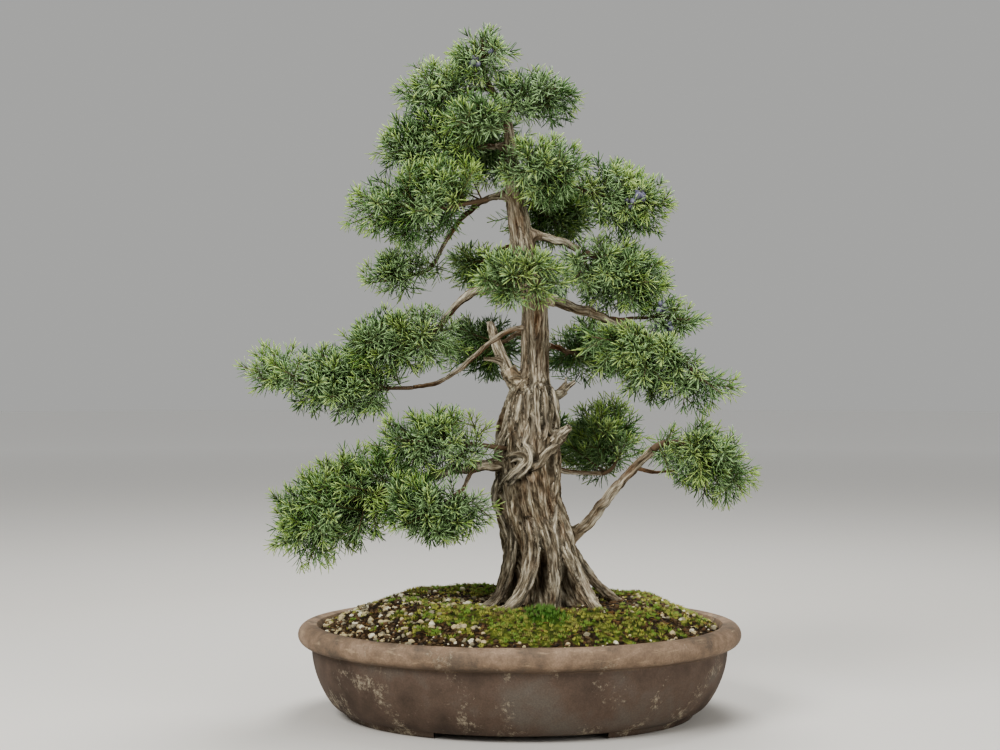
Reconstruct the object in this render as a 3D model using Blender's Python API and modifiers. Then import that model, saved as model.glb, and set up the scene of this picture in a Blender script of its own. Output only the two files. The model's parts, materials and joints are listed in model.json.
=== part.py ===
"""A common juniper bonsai in an oval stoneware pot, as separate solids.

The trunk, boughs, dead stubs, pads of foliage, soil and pot are one object each. Metres, +Z up, and the
tree's front faces -Y. Everything is laid out round the middle of the pot's underside. At the end it is
all moved sideways, so that the origin lies under the middle of the whole tree.
"""

import math
import random

import bmesh
import bpy
from mathutils import Matrix, Vector
from mathutils.bvhtree import BVHTree

MM = 0.001

# Clearance between neighbouring solids
GAP = 0.3 * MM

# Pot: half widths along X at each level, and OVAL is its depth over its width
OVAL = 0.767
POT_STEPS = 40
FOOT_HALF = 172 * MM
FOOT_HEIGHT = 6.6 * MM
FOOT_WIDTH = 15 * MM
FOOT_FLARE = 3 * MM
FOOT_GAP_HALF = 81 * MM
WALL_HALF_LOW = 178.5 * MM
WALL_HALF_HIGH = 207 * MM
WALL_HEIGHT = 69.5 * MM
WALL_THICK = 9.5 * MM
WALL_FULLNESS = 0.65
WALL_POINTS = 4
RIM_RADIUS = 10.9 * MM
RIM_HALF = 209.5 * MM
RIM_INNER_HALF = 200.5 * MM
RIM_POINTS = 6
FLOOR_TOP = 14 * MM
FLOOR_HALF = 160 * MM
DRAIN_RADIUS = 11 * MM
DRAIN_OFFSET = 75 * MM

# Soil: a low mound in the pot, level under the trunk
GROUND = 114 * MM
SOIL_EDGE = 86 * MM
SOIL_PLATEAU = 0.61
SOIL_FALL = 0.85
SOIL_INSET = 2.5 * MM
# Shares of the mound's half width at which its top has a ring of corners
SOIL_RINGS = (0.36, 0.5, SOIL_PLATEAU, 0.7, 0.79, 0.89, 1)
# Moss cushions, and dips of bare grit: place (right, back), radius and rise in millimetres
SOIL_CUSHIONS = (
    (-34, -110, 27, 3.2), (36, -122, 25, 2.8), (104, -88, 29, 3.2), (152, -26, 27, 3), (126, 56, 40, 6),
    (38, 120, 31, 3), (-52, 104, 32, 3.4), (-104, 46, 29, 3), (-150, 2, 24, 2.4), (-112, -48, 25, -2.4),
    (-72, -14, 22, -2), (-84, -96, 22, 2), (70, -100, 18, -2), (168, 22, 20, -1.6), (92, 96, 20, -1.6),
)
# The mound is flat where the trunk stands: the distance from its foot where the cushions begin, and are full
SOIL_FLAT = (94 * MM, 116 * MM)
# Shares of the mound's half width between which the cushions fade towards the pot
SOIL_CALM = (0.9, 1)

# Trunk: height above the table, centre (right, back) and radius at each level
TRUNK_LEVELS = (
    (114, 28, 0, 35),
    (135, 25, 0, 34.5),
    (175, 20, 0, 34),
    (215, 10, 1, 32),
    (255, 9, 2, 31),
    (295, 10, 3, 29.5),
    (318, 12, 3, 25),
    (336, 15, 4, 15.5),
    (375, 15, 4, 13.8),
    (415, 14, 2, 12.6),
    (475, 2, 0, 12),
    (525, -6, 0, 9.5),
    (575, -10, 0, 6),
    (600, -15, -2, 4.8),
    (628, -31, -3, 3.5),
    (650, -37, -4, 2.2),
)
TRUNK_RINGS = 27
RING_POWER = 1.45
TRUNK_SIDES = 28
TRUNK_FLUTES = ((2, 0.07, 0.4, 3), (5, 0.05, 1.9, 9), (7, 0.035, 0.7, -12))
ROOT_FADE = 19 * MM
# Surface roots: direction in degrees from +X towards the back, reach past the trunk, half width in degrees
ROOTS = ((-50, 42, 13), (5, 38, 13), (55, 22, 15), (100, 24, 16), (150, 22, 16),
         (-170, 29, 15), (-122, 42, 13), (-88, 20, 12))
# Strands of old wood that stand out of the trunk: direction, height, half width in degrees, half height, rise
RIBS = (
    (-30, 300, 14, 27, 3),  # the column above the right stub
    (-54, 172, 12, 52, 3),  # the pale strip
    (-70, 255, 16, 19, 4),  # the foot of the front stub
    (-112, 250, 17, 18, 4.5),  # the swirl
    (-172, 214, 16, 36, 3.5),  # the left edge
    (-142, 292, 14, 27, 2.5),  # the strand below the fork
)

# Dead stubs of old branches on the trunk: height of the foot, tip, radii
STUBS = {
    "deadwood_fork_left": dict(at=308, tip=(-30, -6, 391), bow=(-4, 0, -3), radius=(9.5, 4)),
    "deadwood_spur_left": dict(parent="deadwood_fork_left", at=0.5, tip=(-36, -14, 353), bow=(0, 0, 2),
                               radius=(3.4, 2.6)),
    "deadwood_stub_front": dict(at=258, tip=(49, -28, 286), bow=(0, 0, -3), radius=(9, 4.6)),
    "deadwood_stub_right": dict(at=304, tip=(56, 2, 331), bow=(0, 0, -3), radius=(6, 2.6)),
}

# Boughs: each starts in the middle of its parent, at a height on the trunk or a share of another bough,
# and runs to its tip. bow moves its middle, and sway bends it into an S
BOUGHS = {
    "bough_low_right": dict(at=160, tip=(132, -18, 263), bow=(3, 0, -7), sway=(2, 0, -3), radius=(7.4, 4.2)),
    "bough_right_middle": dict(at=417, tip=(128, -30, 373), bow=(0, 0, 3), radius=(6.4, 4)),
    "bough_right_upper": dict(at=479, tip=(62, -4, 461), bow=(0, 0, 3), radius=(5.2, 3.6)),
    "bough_left_middle": dict(at=424, tip=(-78, -24, 386), bow=(0, -4, 18), sway=(0, 0, -5), radius=(6.2, 3.4)),
    "bough_left_slender": dict(at=386, tip=(-105, -22, 325), bow=(0, -17, 0), sway=(0, 0, 8), radius=(3.2, 2.2)),
    "bough_low_left": dict(at=250, tip=(-112, -34, 231), bow=(0, 0, 5), radius=(7, 4)),
    "bough_left_hanging": dict(at=522, tip=(-83, 10, 454), bow=(-6, 6, 14), radius=(3.8, 2.3)),
    "bough_upper_left": dict(at=562, tip=(-50, 5, 563), bow=(0, 0, 4), radius=(3.4, 2.3)),
    "bough_left_upper": dict(at=514, tip=(-32, -17, 511), bow=(0, 0, 2), radius=(4, 3)),
    "bough_upper_right": dict(at=528, tip=(56, 2, 524), bow=(0, 8, 3), radius=(4.2, 2.8)),
    "bough_front": dict(at=432, tip=(8, -37, 432), bow=(0, 0, 2), radius=(4.2, 3)),
    "bough_back_left_upper": dict(at=466, tip=(-24, 33, 462), bow=(0, 0, 2), radius=(3.2, 2.3)),
    "bough_back_left_middle": dict(at=384, tip=(-12, 46, 373), bow=(0, 0, 2), radius=(3.6, 2.6)),
    "bough_back_right_middle": dict(at=368, tip=(46, 44, 362), bow=(0, 0, 2), radius=(3.8, 2.7)),
    "bough_back_right_low": dict(at=252, tip=(84, 44, 236), bow=(0, 0, -4), radius=(3.6, 2.4)),
    "bough_back_upper": dict(at=508, tip=(6, 31, 513), bow=(0, 0, 1), radius=(3.6, 2.6)),
    "bough_back_middle": dict(at=438, tip=(6, 70, 440), bow=(0, 0, 4), radius=(4.8, 3)),
    "bough_back_low": dict(at=262, tip=(24, 84, 262), bow=(0, 0, 4), radius=(5.4, 3.4)),
}
BRANCHES = {
    "branch_low_right": dict(parent="bough_low_right", at=0.84, tip=(153, -24, 243), bow=(0, 0, -3),
                             radius=(2.4, 1.7)),
    "branch_right_berry": dict(parent="bough_right_middle", at=0.6, tip=(112, -24, 393), bow=(0, 0, -1),
                               radius=(2.4, 1.7)),
    "branch_low_left_front": dict(parent="bough_low_left", at=0.42, tip=(-54, -36, 229), bow=(0, -2, 2),
                                  radius=(3, 2.2)),
}
LIMBS = {**STUBS, **BOUGHS, **BRANCHES}
LIMB_POINTS = 6
LIMB_BEVEL = 1
LIMB_CLEAR = 1.3 * GAP
TRUNK_CLEAR = 1.4 * GAP

# Foliage: each pad keeps to an ellipsoid: its middle, half sizes, and tilt in degrees, where + is left end down.
# The stem starts at the tip of its bough, or in the trunk at a height, and ends at the pad's far side or
# at the end named by along
PADS = {
    "foliage_apex": dict(on="trunk_tip", middle=(-37, -4, 655), half=(34, 34, 34), along=(0, 0, 1)),
    "foliage_top_left": dict(on=622, middle=(-76, 0, 621), half=(43, 34, 32), tilt=15),
    "foliage_top_right": dict(on=600, middle=(16, -8, 613), half=(42, 32, 26), tilt=-4),
    "foliage_top_front": dict(on=582, middle=(-44, -34, 582), half=(34, 28, 29)),
    "foliage_top_back": dict(on=570, middle=(-30, 47, 574), half=(48, 38, 38)),
    "foliage_upper_left": dict(on="bough_upper_left", middle=(-93, 5, 563), half=(51, 42, 36)),
    "foliage_left_upper": dict(on="bough_left_upper", middle=(-102, -28, 506), half=(73, 44, 37), tilt=14),
    "foliage_right_inner": dict(on=541, middle=(24, -32, 536), half=(46, 36, 32)),
    "foliage_right_outer": dict(on="bough_upper_right", middle=(102, -5, 513), half=(50, 44, 32), tilt=-24,
                                fruit=5),
    "foliage_front": dict(on="bough_front", middle=(-1, -66, 431), half=(52, 30, 28)),
    "foliage_right_middle": dict(on="bough_right_upper", middle=(95, -14, 434), half=(58, 46, 37)),
    "foliage_right_tip": dict(on="branch_right_berry", middle=(146, -26, 392), half=(35, 27, 20), fruit=3),
    "foliage_right_lower": dict(on="bough_right_middle", middle=(135, -45, 343), half=(76, 42, 32), tilt=-18,
                                along=(1, 0, 0)),
    "foliage_low_right": dict(on="bough_low_right", middle=(183, -20, 250), half=(49, 42, 36), tilt=-30),
    "foliage_left_middle": dict(on="bough_left_middle", middle=(-118, -30, 371), half=(60, 42, 32)),
    "foliage_far_left": dict(on="bough_left_slender", middle=(-194, -12, 331), half=(86, 42, 33), tilt=-9),
    "foliage_small_left": dict(on="bough_left_hanging", middle=(-118, 4, 440), half=(43, 30, 24), tilt=16),
    "foliage_low_left_inner": dict(on=262, middle=(-83, -42, 271), half=(62, 38, 31)),
    "foliage_low_left_front": dict(on="branch_low_left_front", middle=(-84, -62, 210), half=(56, 36, 33)),
    "foliage_low_left_outer": dict(on="bough_low_left", middle=(-180, -32, 206), half=(79, 50, 50), tilt=38),
    "foliage_back_left_upper": dict(on="bough_back_left_upper", middle=(-42, 64, 449), half=(34, 36, 23)),
    "foliage_back_left_middle": dict(on="bough_back_left_middle", middle=(-42, 88, 367), half=(44, 44, 31)),
    "foliage_back_right_middle": dict(on="bough_back_right_middle", middle=(76, 86, 362), half=(44, 44, 31)),
    "foliage_back_right_low": dict(on="bough_back_right_low", middle=(87, 80, 269), half=(46, 44, 40),
                                   along=(0.5, 0.2, 0.8)),
    "foliage_back_upper": dict(on="bough_back_upper", middle=(34, 70, 506), half=(54, 42, 34)),
    "foliage_back_middle": dict(on="bough_back_middle", middle=(-2, 112, 438), half=(54, 42, 27)),
    "foliage_back_low": dict(on="bough_back_low", middle=(22, 128, 262), half=(48, 44, 31)),
}
PAD_SEED = 41
FIDGET_SEED = 700
STEM_TIP_RADIUS = 1.1 * MM
STEM_POINTS = 5
STEM_REACH = 0.6
STEM_LEAD = 4 * MM
STEM_BARE = 6 * MM
STEM_JOIN = 0.2
STEM_BEND = 0.4
STEM_WANDER = 2.2 * MM
# A stem's radius as a share of the wood it grows from: the trunk's tip, a bough's tip, the trunk's side
STEM_SHARES = (0.85, 0.9, 0.5)
STEM_THICKEST = 3 * MM
# One twig for this much of a pad's surface, in square metres
TWIG_AREA = 2000 * MM ** 2
TWIG_TURN = math.radians(137.5)
TWIG_BACK = 0.6
TWIG_RADII = (1.2 * MM, 0.9 * MM)
TWIG_LEAST = 3 * MM
TWIG_ENDS = (0.92, 1.03)
SIDE_SPACING = 30 * MM
SIDE_ANGLE = math.radians(55)
SPRAY_LENGTH = 32 * MM
SPRAY_HALF = 21 * MM
# Share of the half width and share of the length, where a side shoot ends and between two of them
SPRAY_SPIKE = (1, 0.6)
SPRAY_WAIST = (0.33, 0.45)
SPRAY_TRIES = 8
SPRAY_SHRINK = 0.94
SPRAY_LEAST = 0.75
SPRAY_FIDGET = 0.16
SIDE_LENGTHS = (1.0, 1.2)
FRUIT_RADIUS = 3.3 * MM
FRUIT_FIRST = 1.2
FRUIT_SEAT = 0.6
SHARP_ANGLE = math.radians(40)
SPACE_LIMIT = 1.2
NEIGHBOUR_LIMIT = 0.6
NEAREST = 0.45 * MM


def clear_scene():
    for obj in list(bpy.data.objects):
        bpy.data.objects.remove(obj)


def collection(name, shown=True):
    made = bpy.data.collections.new(name)
    made.hide_render = not shown
    bpy.context.scene.collection.children.link(made)
    return made


def material(name, colour, roughness):
    made = bpy.data.materials.new(name)
    made.use_nodes = True
    shader = made.node_tree.nodes["Principled BSDF"]
    shader.inputs["Base Color"].default_value = (*colour, 1)
    shader.inputs["Roughness"].default_value = roughness
    shader.inputs["Metallic"].default_value = 0
    return made


def new_object(name, mesh, group, finish=None):
    obj = bpy.data.objects.new(name, mesh)
    group.objects.link(obj)
    if finish:
        mesh.materials.clear()
        mesh.materials.append(finish)
    return obj


def object_from(bm, name, group, finish=None):
    """Makes an object of the bmesh's faces, and frees the bmesh."""
    mesh = bpy.data.meshes.new(name)
    bm.to_mesh(mesh)
    bm.free()
    return new_object(name, mesh, group, finish)


def evaluated_mesh(obj):
    bpy.context.view_layer.update()
    graph = bpy.context.evaluated_depsgraph_get()
    mesh = bpy.data.meshes.new_from_object(obj.evaluated_get(graph))
    mesh.transform(obj.matrix_world)
    return mesh


def made_plain(obj, weld=True):
    """Replaces an object by one whose mesh holds its modifiers and its place."""
    mesh = evaluated_mesh(obj)
    if weld:
        bm = bmesh.new()
        bm.from_mesh(mesh)
        bmesh.ops.remove_doubles(bm, verts=bm.verts, dist=0.01 * MM)
        bm.to_mesh(mesh)
        bm.free()
    name, group = obj.name, obj.users_collection[0]
    bpy.data.objects.remove(obj)
    return new_object(name, mesh, group)


def boolean(obj, other, operation, solver="EXACT"):
    modifier = obj.modifiers.new(operation.title(), "BOOLEAN")
    modifier.operation = operation
    modifier.solver = solver
    if isinstance(other, bpy.types.Collection):
        modifier.operand_type = "COLLECTION"
        modifier.collection = other
    else:
        modifier.object = other
    return obj


def paint(obj, finish, smooth=False):
    obj.data.materials.clear()
    obj.data.materials.append(finish)
    if smooth:
        obj.data.shade_smooth()
        obj.data.set_sharp_from_angle(angle=SHARP_ANGLE)


def turned_oval(name, profile, group):
    """A profile in X and Z, turned about Z and narrowed to the pot's oval."""
    bm = bmesh.new()
    points = [bm.verts.new((x, 0, z)) for x, z in profile]
    for first, second in zip(points, points[1:]):
        bm.edges.new((first, second))
    obj = object_from(bm, name, group)
    screw = obj.modifiers.new("Turn", "SCREW")
    screw.steps = screw.render_steps = POT_STEPS
    screw.use_merge_vertices = True
    screw.merge_threshold = 0.1 * MM
    obj.scale = (1, OVAL, 1)
    return made_plain(obj)


def wall_half(height, inset=0):
    """Half width of the pot's bowl at a height, less an inset."""
    share = max(0, (height - FOOT_HEIGHT) / (WALL_HEIGHT - FOOT_HEIGHT))
    swell = math.sin(math.pi / 2 * min(1, share)) ** WALL_FULLNESS
    return WALL_HALF_LOW + (WALL_HALF_HIGH - WALL_HALF_LOW) * swell - inset


def inner_wall(inset):
    """The bowl's inside, from its floor to its mouth, moved inwards by inset."""
    levels = [FLOOR_TOP + (WALL_HEIGHT - FLOOR_TOP) * (i + 1) / WALL_POINTS for i in range(WALL_POINTS)]
    points = [(FLOOR_HALF - inset, FLOOR_TOP + inset)]
    points += [(wall_half(z, WALL_THICK + inset), z) for z in levels]
    return points


def pot_profile():
    rim_middle = WALL_HEIGHT + RIM_RADIUS
    rim = []
    for i in range(RIM_POINTS + 1):
        angle = math.pi / 2 - math.pi * i / RIM_POINTS
        rim.append((RIM_HALF + RIM_RADIUS * math.cos(angle), rim_middle + RIM_RADIUS * math.sin(angle)))
    outer = []
    for i in range(WALL_POINTS):
        z = WALL_HEIGHT - (WALL_HEIGHT - FOOT_HEIGHT) * (i + 0.5) / WALL_POINTS
        outer.append((wall_half(z), z))
    foot = [
        (WALL_HALF_LOW, FOOT_HEIGHT),
        (FOOT_HALF + FOOT_FLARE, FOOT_HEIGHT - 0.5 * MM),
        (FOOT_HALF, 0),
        (FOOT_HALF - FOOT_WIDTH, 0),
        (FOOT_HALF - FOOT_WIDTH, FOOT_HEIGHT),
        (0, FOOT_HEIGHT),
    ]
    mouth = [(RIM_INNER_HALF, rim_middle + 0.8 * RIM_RADIUS)]
    return [(0, FLOOR_TOP)] + inner_wall(0) + mouth + rim + outer + foot


def soil_profile():
    """The mound's top from its middle to its edge, then down the inside of the pot."""
    edge_half = RIM_INNER_HALF - SOIL_INSET
    top = [(0, GROUND)]
    for share in SOIL_RINGS:
        out = max(0, share - SOIL_PLATEAU) / (1 - SOIL_PLATEAU)
        top.append((edge_half * share, SOIL_EDGE + (GROUND - SOIL_EDGE) * (1 - out) ** SOIL_FALL))
    return top + list(reversed(inner_wall(2 * GAP))) + [(0, FLOOR_TOP + 2 * GAP)]


def smooth_step(value, limits):
    """0 below the first limit, 1 past the second, and a smooth rise between them."""
    share = min(1, max(0, (value - limits[0]) / (limits[1] - limits[0])))
    return share * share * (3 - 2 * share)


def cushion_rise(x, y):
    """How far the moss and soil stand above the plain mound, or lie below it."""
    rise = 0
    for across, back, radius, height in SOIL_CUSHIONS:
        away = math.hypot(x / MM - across, y / MM - back) / radius
        rise += height * MM * math.exp(-away * away)
    from_foot = math.hypot(x - TRUNK_LEVELS[0][1] * MM, y)
    share = math.hypot(x, y / OVAL) / (RIM_INNER_HALF - SOIL_INSET)
    return rise * smooth_step(from_foot, SOIL_FLAT) * (1 - smooth_step(share, SOIL_CALM))


def build_soil(finish, group):
    soil = turned_oval("soil_mound", soil_profile(), group)
    for vert in soil.data.vertices:
        if vert.co.z > SOIL_EDGE - GAP:
            vert.co.z += cushion_rise(vert.co.x, vert.co.y)
    paint(soil, finish, smooth=True)
    return soil


def box_cutter(name, size, place, group):
    bm = bmesh.new()
    bmesh.ops.create_cube(bm, size=1)
    bmesh.ops.scale(bm, vec=size, verts=bm.verts)
    bmesh.ops.translate(bm, vec=place, verts=bm.verts)
    return object_from(bm, name, group)


def build_pot(finish, group, cutters):
    pot = turned_oval("pot", pot_profile(), group)
    depth = FOOT_HALF * OVAL
    for name, side in (("front", -1), ("back", 1)):
        size = (2 * FOOT_GAP_HALF, depth, 2 * FOOT_HEIGHT - 1 * MM)
        boolean(pot, box_cutter("foot_gap_" + name, size, (0, side * depth, 0), cutters), "DIFFERENCE")
    for name, side in (("left", -1), ("right", 1)):
        bm = bmesh.new()
        bmesh.ops.create_cone(bm, cap_ends=True, segments=16, radius1=DRAIN_RADIUS, radius2=DRAIN_RADIUS,
                              depth=FLOOR_TOP * 2)
        bmesh.ops.translate(bm, vec=(side * DRAIN_OFFSET, 0, FLOOR_TOP), verts=bm.verts)
        boolean(pot, object_from(bm, "drain_" + name, cutters), "DIFFERENCE")
    pot = made_plain(pot)
    paint(pot, finish, smooth=True)
    return pot


def smooth_between(values, share):
    """A Catmull-Rom value at a share of the way between the middle two of four."""
    a, b, c, d = values
    return 0.5 * (2 * b + (c - a) * share + (2 * a - 5 * b + 4 * c - d) * share ** 2
                  + (3 * b - a - 3 * c + d) * share ** 3)


def trunk_at(height):
    """The trunk's middle and radius at a height above the table, in metres."""
    levels = TRUNK_LEVELS
    height = min(max(height / MM, levels[0][0]), levels[-1][0])
    i = 0
    while i < len(levels) - 2 and levels[i + 1][0] < height:
        i += 1
    share = (height - levels[i][0]) / (levels[i + 1][0] - levels[i][0])
    near = [levels[min(max(j, 0), len(levels) - 1)] for j in range(i - 1, i + 3)]
    x, y, radius = (smooth_between([level[k] for level in near], share) for k in (1, 2, 3))
    return Vector((x * MM, y * MM, height * MM)), max(radius, 1) * MM


def angle_between(a, b):
    return (a - b + math.pi) % (2 * math.pi) - math.pi


def trunk_radius(angle, height, radius):
    """The trunk's radius in one direction, with its flutes and surface roots."""
    swell = 1
    for count, depth, start, turn in TRUNK_FLUTES:
        swell += depth * math.cos(count * angle + start + turn * height)
    fade = math.exp(-(height - GROUND) / ROOT_FADE)
    root = 0
    for direction, reach, width in ROOTS:
        away = angle_between(angle, math.radians(direction)) / math.radians(width)
        root = max(root, reach * MM * math.exp(-away * away))
    rib = 0
    for direction, middle, width, half, rise in RIBS:
        away = angle_between(angle, math.radians(direction)) / math.radians(width)
        above = (height / MM - middle) / half
        rib = max(rib, rise * MM * math.exp(-away * away - above * above))
    return radius * swell + root * fade + rib


def trunk_heights():
    """Ring heights, close together at the root flare."""
    top = TRUNK_LEVELS[-1][0] * MM
    return [GROUND + (top - GROUND) * (i / (TRUNK_RINGS - 1)) ** RING_POWER for i in range(TRUNK_RINGS)]


def trunk_mesh(name, group, grow=0):
    """The trunk as a loft of fluted rings, or one larger all round, to cut its neighbours clear."""
    bm = bmesh.new()
    rings = []
    for height in trunk_heights():
        middle, radius = trunk_at(height)
        ring = []
        for k in range(TRUNK_SIDES):
            angle = 2 * math.pi * k / TRUNK_SIDES
            reach = trunk_radius(angle, height, radius) + grow
            ring.append(bm.verts.new(middle + Vector((math.cos(angle), math.sin(angle), 0)) * reach))
        rings.append(ring)
    for low, high in zip(rings, rings[1:]):
        for k in range(TRUNK_SIDES):
            after = (k + 1) % TRUNK_SIDES
            bm.faces.new((low[k], low[after], high[after], high[k]))
    bm.faces.new(list(reversed(rings[0])))
    bm.faces.new(rings[-1])
    return object_from(bm, name, group)


def limb_path(start, tip, bow, sway, count=LIMB_POINTS):
    points = []
    for i in range(count):
        t = i / (count - 1)
        points.append(start.lerp(tip, t) + bow * math.sin(math.pi * t) + sway * math.sin(2 * math.pi * t))
    return points


def tube(name, points, radii, group, bevel=LIMB_BEVEL):
    """A tapering tube through the points, as a closed mesh."""
    curve = bpy.data.curves.new(name, "CURVE")
    curve.dimensions = "3D"
    curve.bevel_depth = 1 * MM
    curve.bevel_resolution = bevel
    curve.use_fill_caps = True
    spline = curve.splines.new("POLY")
    spline.points.add(len(points) - 1)
    for i, (point, place) in enumerate(zip(spline.points, points)):
        point.co = (*place, 1)
        point.radius = (radii[0] + (radii[1] - radii[0]) * i / (len(points) - 1)) / MM
    return made_plain(new_object(name, curve, group))


def vector(numbers):
    return Vector(numbers) * MM


def limb_route(spec, paths):
    """The points of a bough or stub, from the middle of what it grows on."""
    if "parent" in spec:
        path = paths[spec["parent"]]
        place = spec["at"] * (len(path) - 1)
        start = path[int(place)].lerp(path[int(place) + 1], place % 1)
    else:
        start = trunk_at(spec["at"] * MM)[0]
    return limb_path(start, vector(spec["tip"]), vector(spec["bow"]), vector(spec.get("sway", (0, 0, 0))))


def build_limb(name, spec, paths, trunk_cutter, finish, group, cutters):
    route = limb_route(spec, paths)
    paths[name] = route
    radii = [r * MM for r in spec["radius"]]
    limb = tube(name, route, radii, group)
    if "parent" in spec:
        parent = LIMBS[spec["parent"]]
        wider = [r * MM + LIMB_CLEAR for r in parent["radius"]]
        cutter = tube(name + "_cut", paths[spec["parent"]], wider, cutters)
    else:
        cutter = trunk_cutter
    limb = made_plain(boolean(limb, cutter, "DIFFERENCE"))
    keep_largest(limb)
    paint(limb, finish)
    return limb


def keep_largest(obj):
    """Drops loose scraps, and the shells of sealed hollows, which fills them."""
    bm = bmesh.new()
    bm.from_mesh(obj.data)
    left = set(bm.faces)
    parts = []
    while left:
        part, front = [], [left.pop()]
        while front:
            face = front.pop()
            part.append(face)
            for edge in face.edges:
                for other in edge.link_faces:
                    if other in left:
                        left.discard(other)
                        front.append(other)
        parts.append(part)
    parts.sort(key=len, reverse=True)
    scraps = [face for part in parts[1:] for face in part]
    bmesh.ops.delete(bm, geom=scraps, context="FACES")
    bm.to_mesh(obj.data)
    bm.free()


class Pad:
    """The space of one mass of foliage: an ellipsoid, tilted about the front-to-back axis."""

    def __init__(self, name, spec):
        self.name = name
        self.spec = spec
        self.middle = vector(spec["middle"])
        self.half = vector(spec["half"])
        self.turn = Matrix.Rotation(math.radians(-spec.get("tilt", 0)), 3, "Y")
        self.back = self.turn.transposed()

    def local(self, place):
        point = self.back @ (place - self.middle)
        return Vector([point[k] / self.half[k] for k in range(3)])

    def depth(self, place):
        """0 in the middle of the space and 1 on its surface."""
        return self.local(place).length

    def at(self, local):
        return self.middle + self.turn @ Vector([local[k] * self.half[k] for k in range(3)])

    def surface(self):
        """The ellipsoid's area, by Thomsen's rule."""
        power = 1.6
        a, b, c = (half ** power for half in self.half)
        return 4 * math.pi * ((a * b + a * c + b * c) / 3) ** (1 / power)


def frame_of(direction):
    """Two directions square to this one."""
    side = direction.cross(Vector((0, 0, 1)))
    if side.length < 0.1:
        side = direction.cross(Vector((0, 1, 0)))
    side.normalize()
    return side, direction.cross(side).normalized()


def stem_path(pad, start, heading, rng):
    """The stem's points, bending from its bough's heading to the far end of the pad."""
    if "along" in pad.spec:
        far = Vector(pad.spec["along"]).normalized()
    else:
        far = (-pad.local(start)).normalized()
    end = pad.at(far * STEM_REACH)
    bend = start + heading * (end - start).length * STEM_BEND
    points = []
    for i in range(STEM_POINTS):
        t = i / (STEM_POINTS - 1)
        wander = Vector([rng.uniform(-1, 1) for _ in range(3)]) * STEM_WANDER * (0 < t < 1)
        points.append(start.lerp(bend, t).lerp(bend.lerp(end, t), t) + wander)
    points.insert(1, start + heading * STEM_LEAD)
    return points, pad.at(far)


def path_length(points):
    return sum((b - a).length for a, b in zip(points, points[1:]))


def along_path(points, distance):
    """The place at a distance along a path, and the path's direction there."""
    for a, b in zip(points, points[1:]):
        step = (b - a).length
        if distance <= step or b is points[-1]:
            return a.lerp(b, min(distance / step, 1)), (b - a) / step
        distance -= step


def twig_foot(stem, target, least):
    """Where on the stem a twig to the target starts: back from the nearest place, so that it leans."""
    length = path_length(stem)
    tries = [least + (length - least) * i / 30 for i in range(31)]
    nearest = min(tries, key=lambda d: (along_path(stem, d)[0] - target).length)
    away = (along_path(stem, nearest)[0] - target).length
    return along_path(stem, max(least, nearest - away * TWIG_BACK))[0]


def twig_plan(pad, stem, far, least, rng):
    """The side twigs of a stem, as feet and tips. The tips are spread evenly over the pad's surface."""
    count = max(5, round(pad.surface() / TWIG_AREA))
    start = rng.uniform(0, 2 * math.pi)
    end = stem[-1]
    twigs = [(end.lerp(stem[-2], STEM_JOIN), far)]
    for i in range(count):
        along = 1 - 2 * (i + 0.5) / count
        ring = math.sqrt(1 - along * along)
        turn = start + i * TWIG_TURN
        tip = pad.at(Vector((along, ring * math.cos(turn), ring * math.sin(turn))) * rng.uniform(*TWIG_ENDS))
        twigs.append((twig_foot(stem, tip, least), tip))
    return twigs


def spray_plan(foot, tip, rng):
    """The shoots of one twig: foot, direction, length and roll. The first is the twig itself."""
    reach = (tip - foot).length
    direction = (tip - foot) / reach
    shoots = [(foot, direction, max(SPRAY_LENGTH * SPRAY_LEAST, reach), rng.uniform(0, math.pi))]
    bare = reach - SPRAY_LENGTH
    side, up = frame_of(direction)
    turn = rng.uniform(0, 2 * math.pi)
    for i in range(round(bare / SIDE_SPACING)):
        at = foot + direction * bare * (i + 0.5) / round(bare / SIDE_SPACING)
        turn += TWIG_TURN
        out = side * math.cos(turn) + up * math.sin(turn)
        heading = direction * math.cos(SIDE_ANGLE) + out * math.sin(SIDE_ANGLE)
        shoots.append((at, heading, SPRAY_LENGTH * rng.uniform(*SIDE_LENGTHS), rng.uniform(0, math.pi)))
    return shoots


def placed(direction, roll, place):
    """The matrix that puts a shape made along +Z at a place, pointing in a direction."""
    side, up = frame_of(direction)
    across = side * math.cos(roll) + up * math.sin(roll)
    turn = Matrix((across, direction.cross(across), direction)).transposed().to_4x4()
    return Matrix.Translation(place) @ turn


def shoot_shape(length, half):
    """A three-sided twig along +Z that opens into a spray: a slim core with side shoots standing out."""
    bm = bmesh.new()
    spray = min(SPRAY_LENGTH, length)
    neck = length - spray

    def ring(count, profile, height):
        points = []
        for i in range(count):
            angle = 2 * math.pi * i / count
            radius, rise = profile[i % len(profile)]
            points.append(bm.verts.new((radius * math.cos(angle), radius * math.sin(angle), height + rise)))
        return points

    spike = (half * SPRAY_SPIKE[0], spray * SPRAY_SPIKE[1])
    waist = (half * SPRAY_WAIST[0], spray * SPRAY_WAIST[1])
    rings = [ring(3, [(TWIG_RADII[0], 0)], 0)]
    if neck > TWIG_LEAST:
        rings.append(ring(3, [(TWIG_RADII[1], 0)], neck))
    star = ring(6, [spike, waist], neck)
    tip = bm.verts.new((0, 0, length))
    bm.faces.new(reversed(rings[0]))
    for k in range(3):
        after = (k + 1) % 3
        for low, high in zip(rings, rings[1:]):
            bm.faces.new((low[k], low[after], high[after], high[k]))
        low = rings[-1]
        bm.faces.new((low[k], star[2 * k + 1], star[2 * k]))
        bm.faces.new((low[k], low[after], star[2 * k + 1]))
        bm.faces.new((low[after], star[2 * after], star[2 * k + 1]))
        bm.faces.new((star[2 * k], star[2 * k + 1], tip))
        bm.faces.new((star[2 * k + 1], star[2 * after], tip))
    return bm


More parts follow.
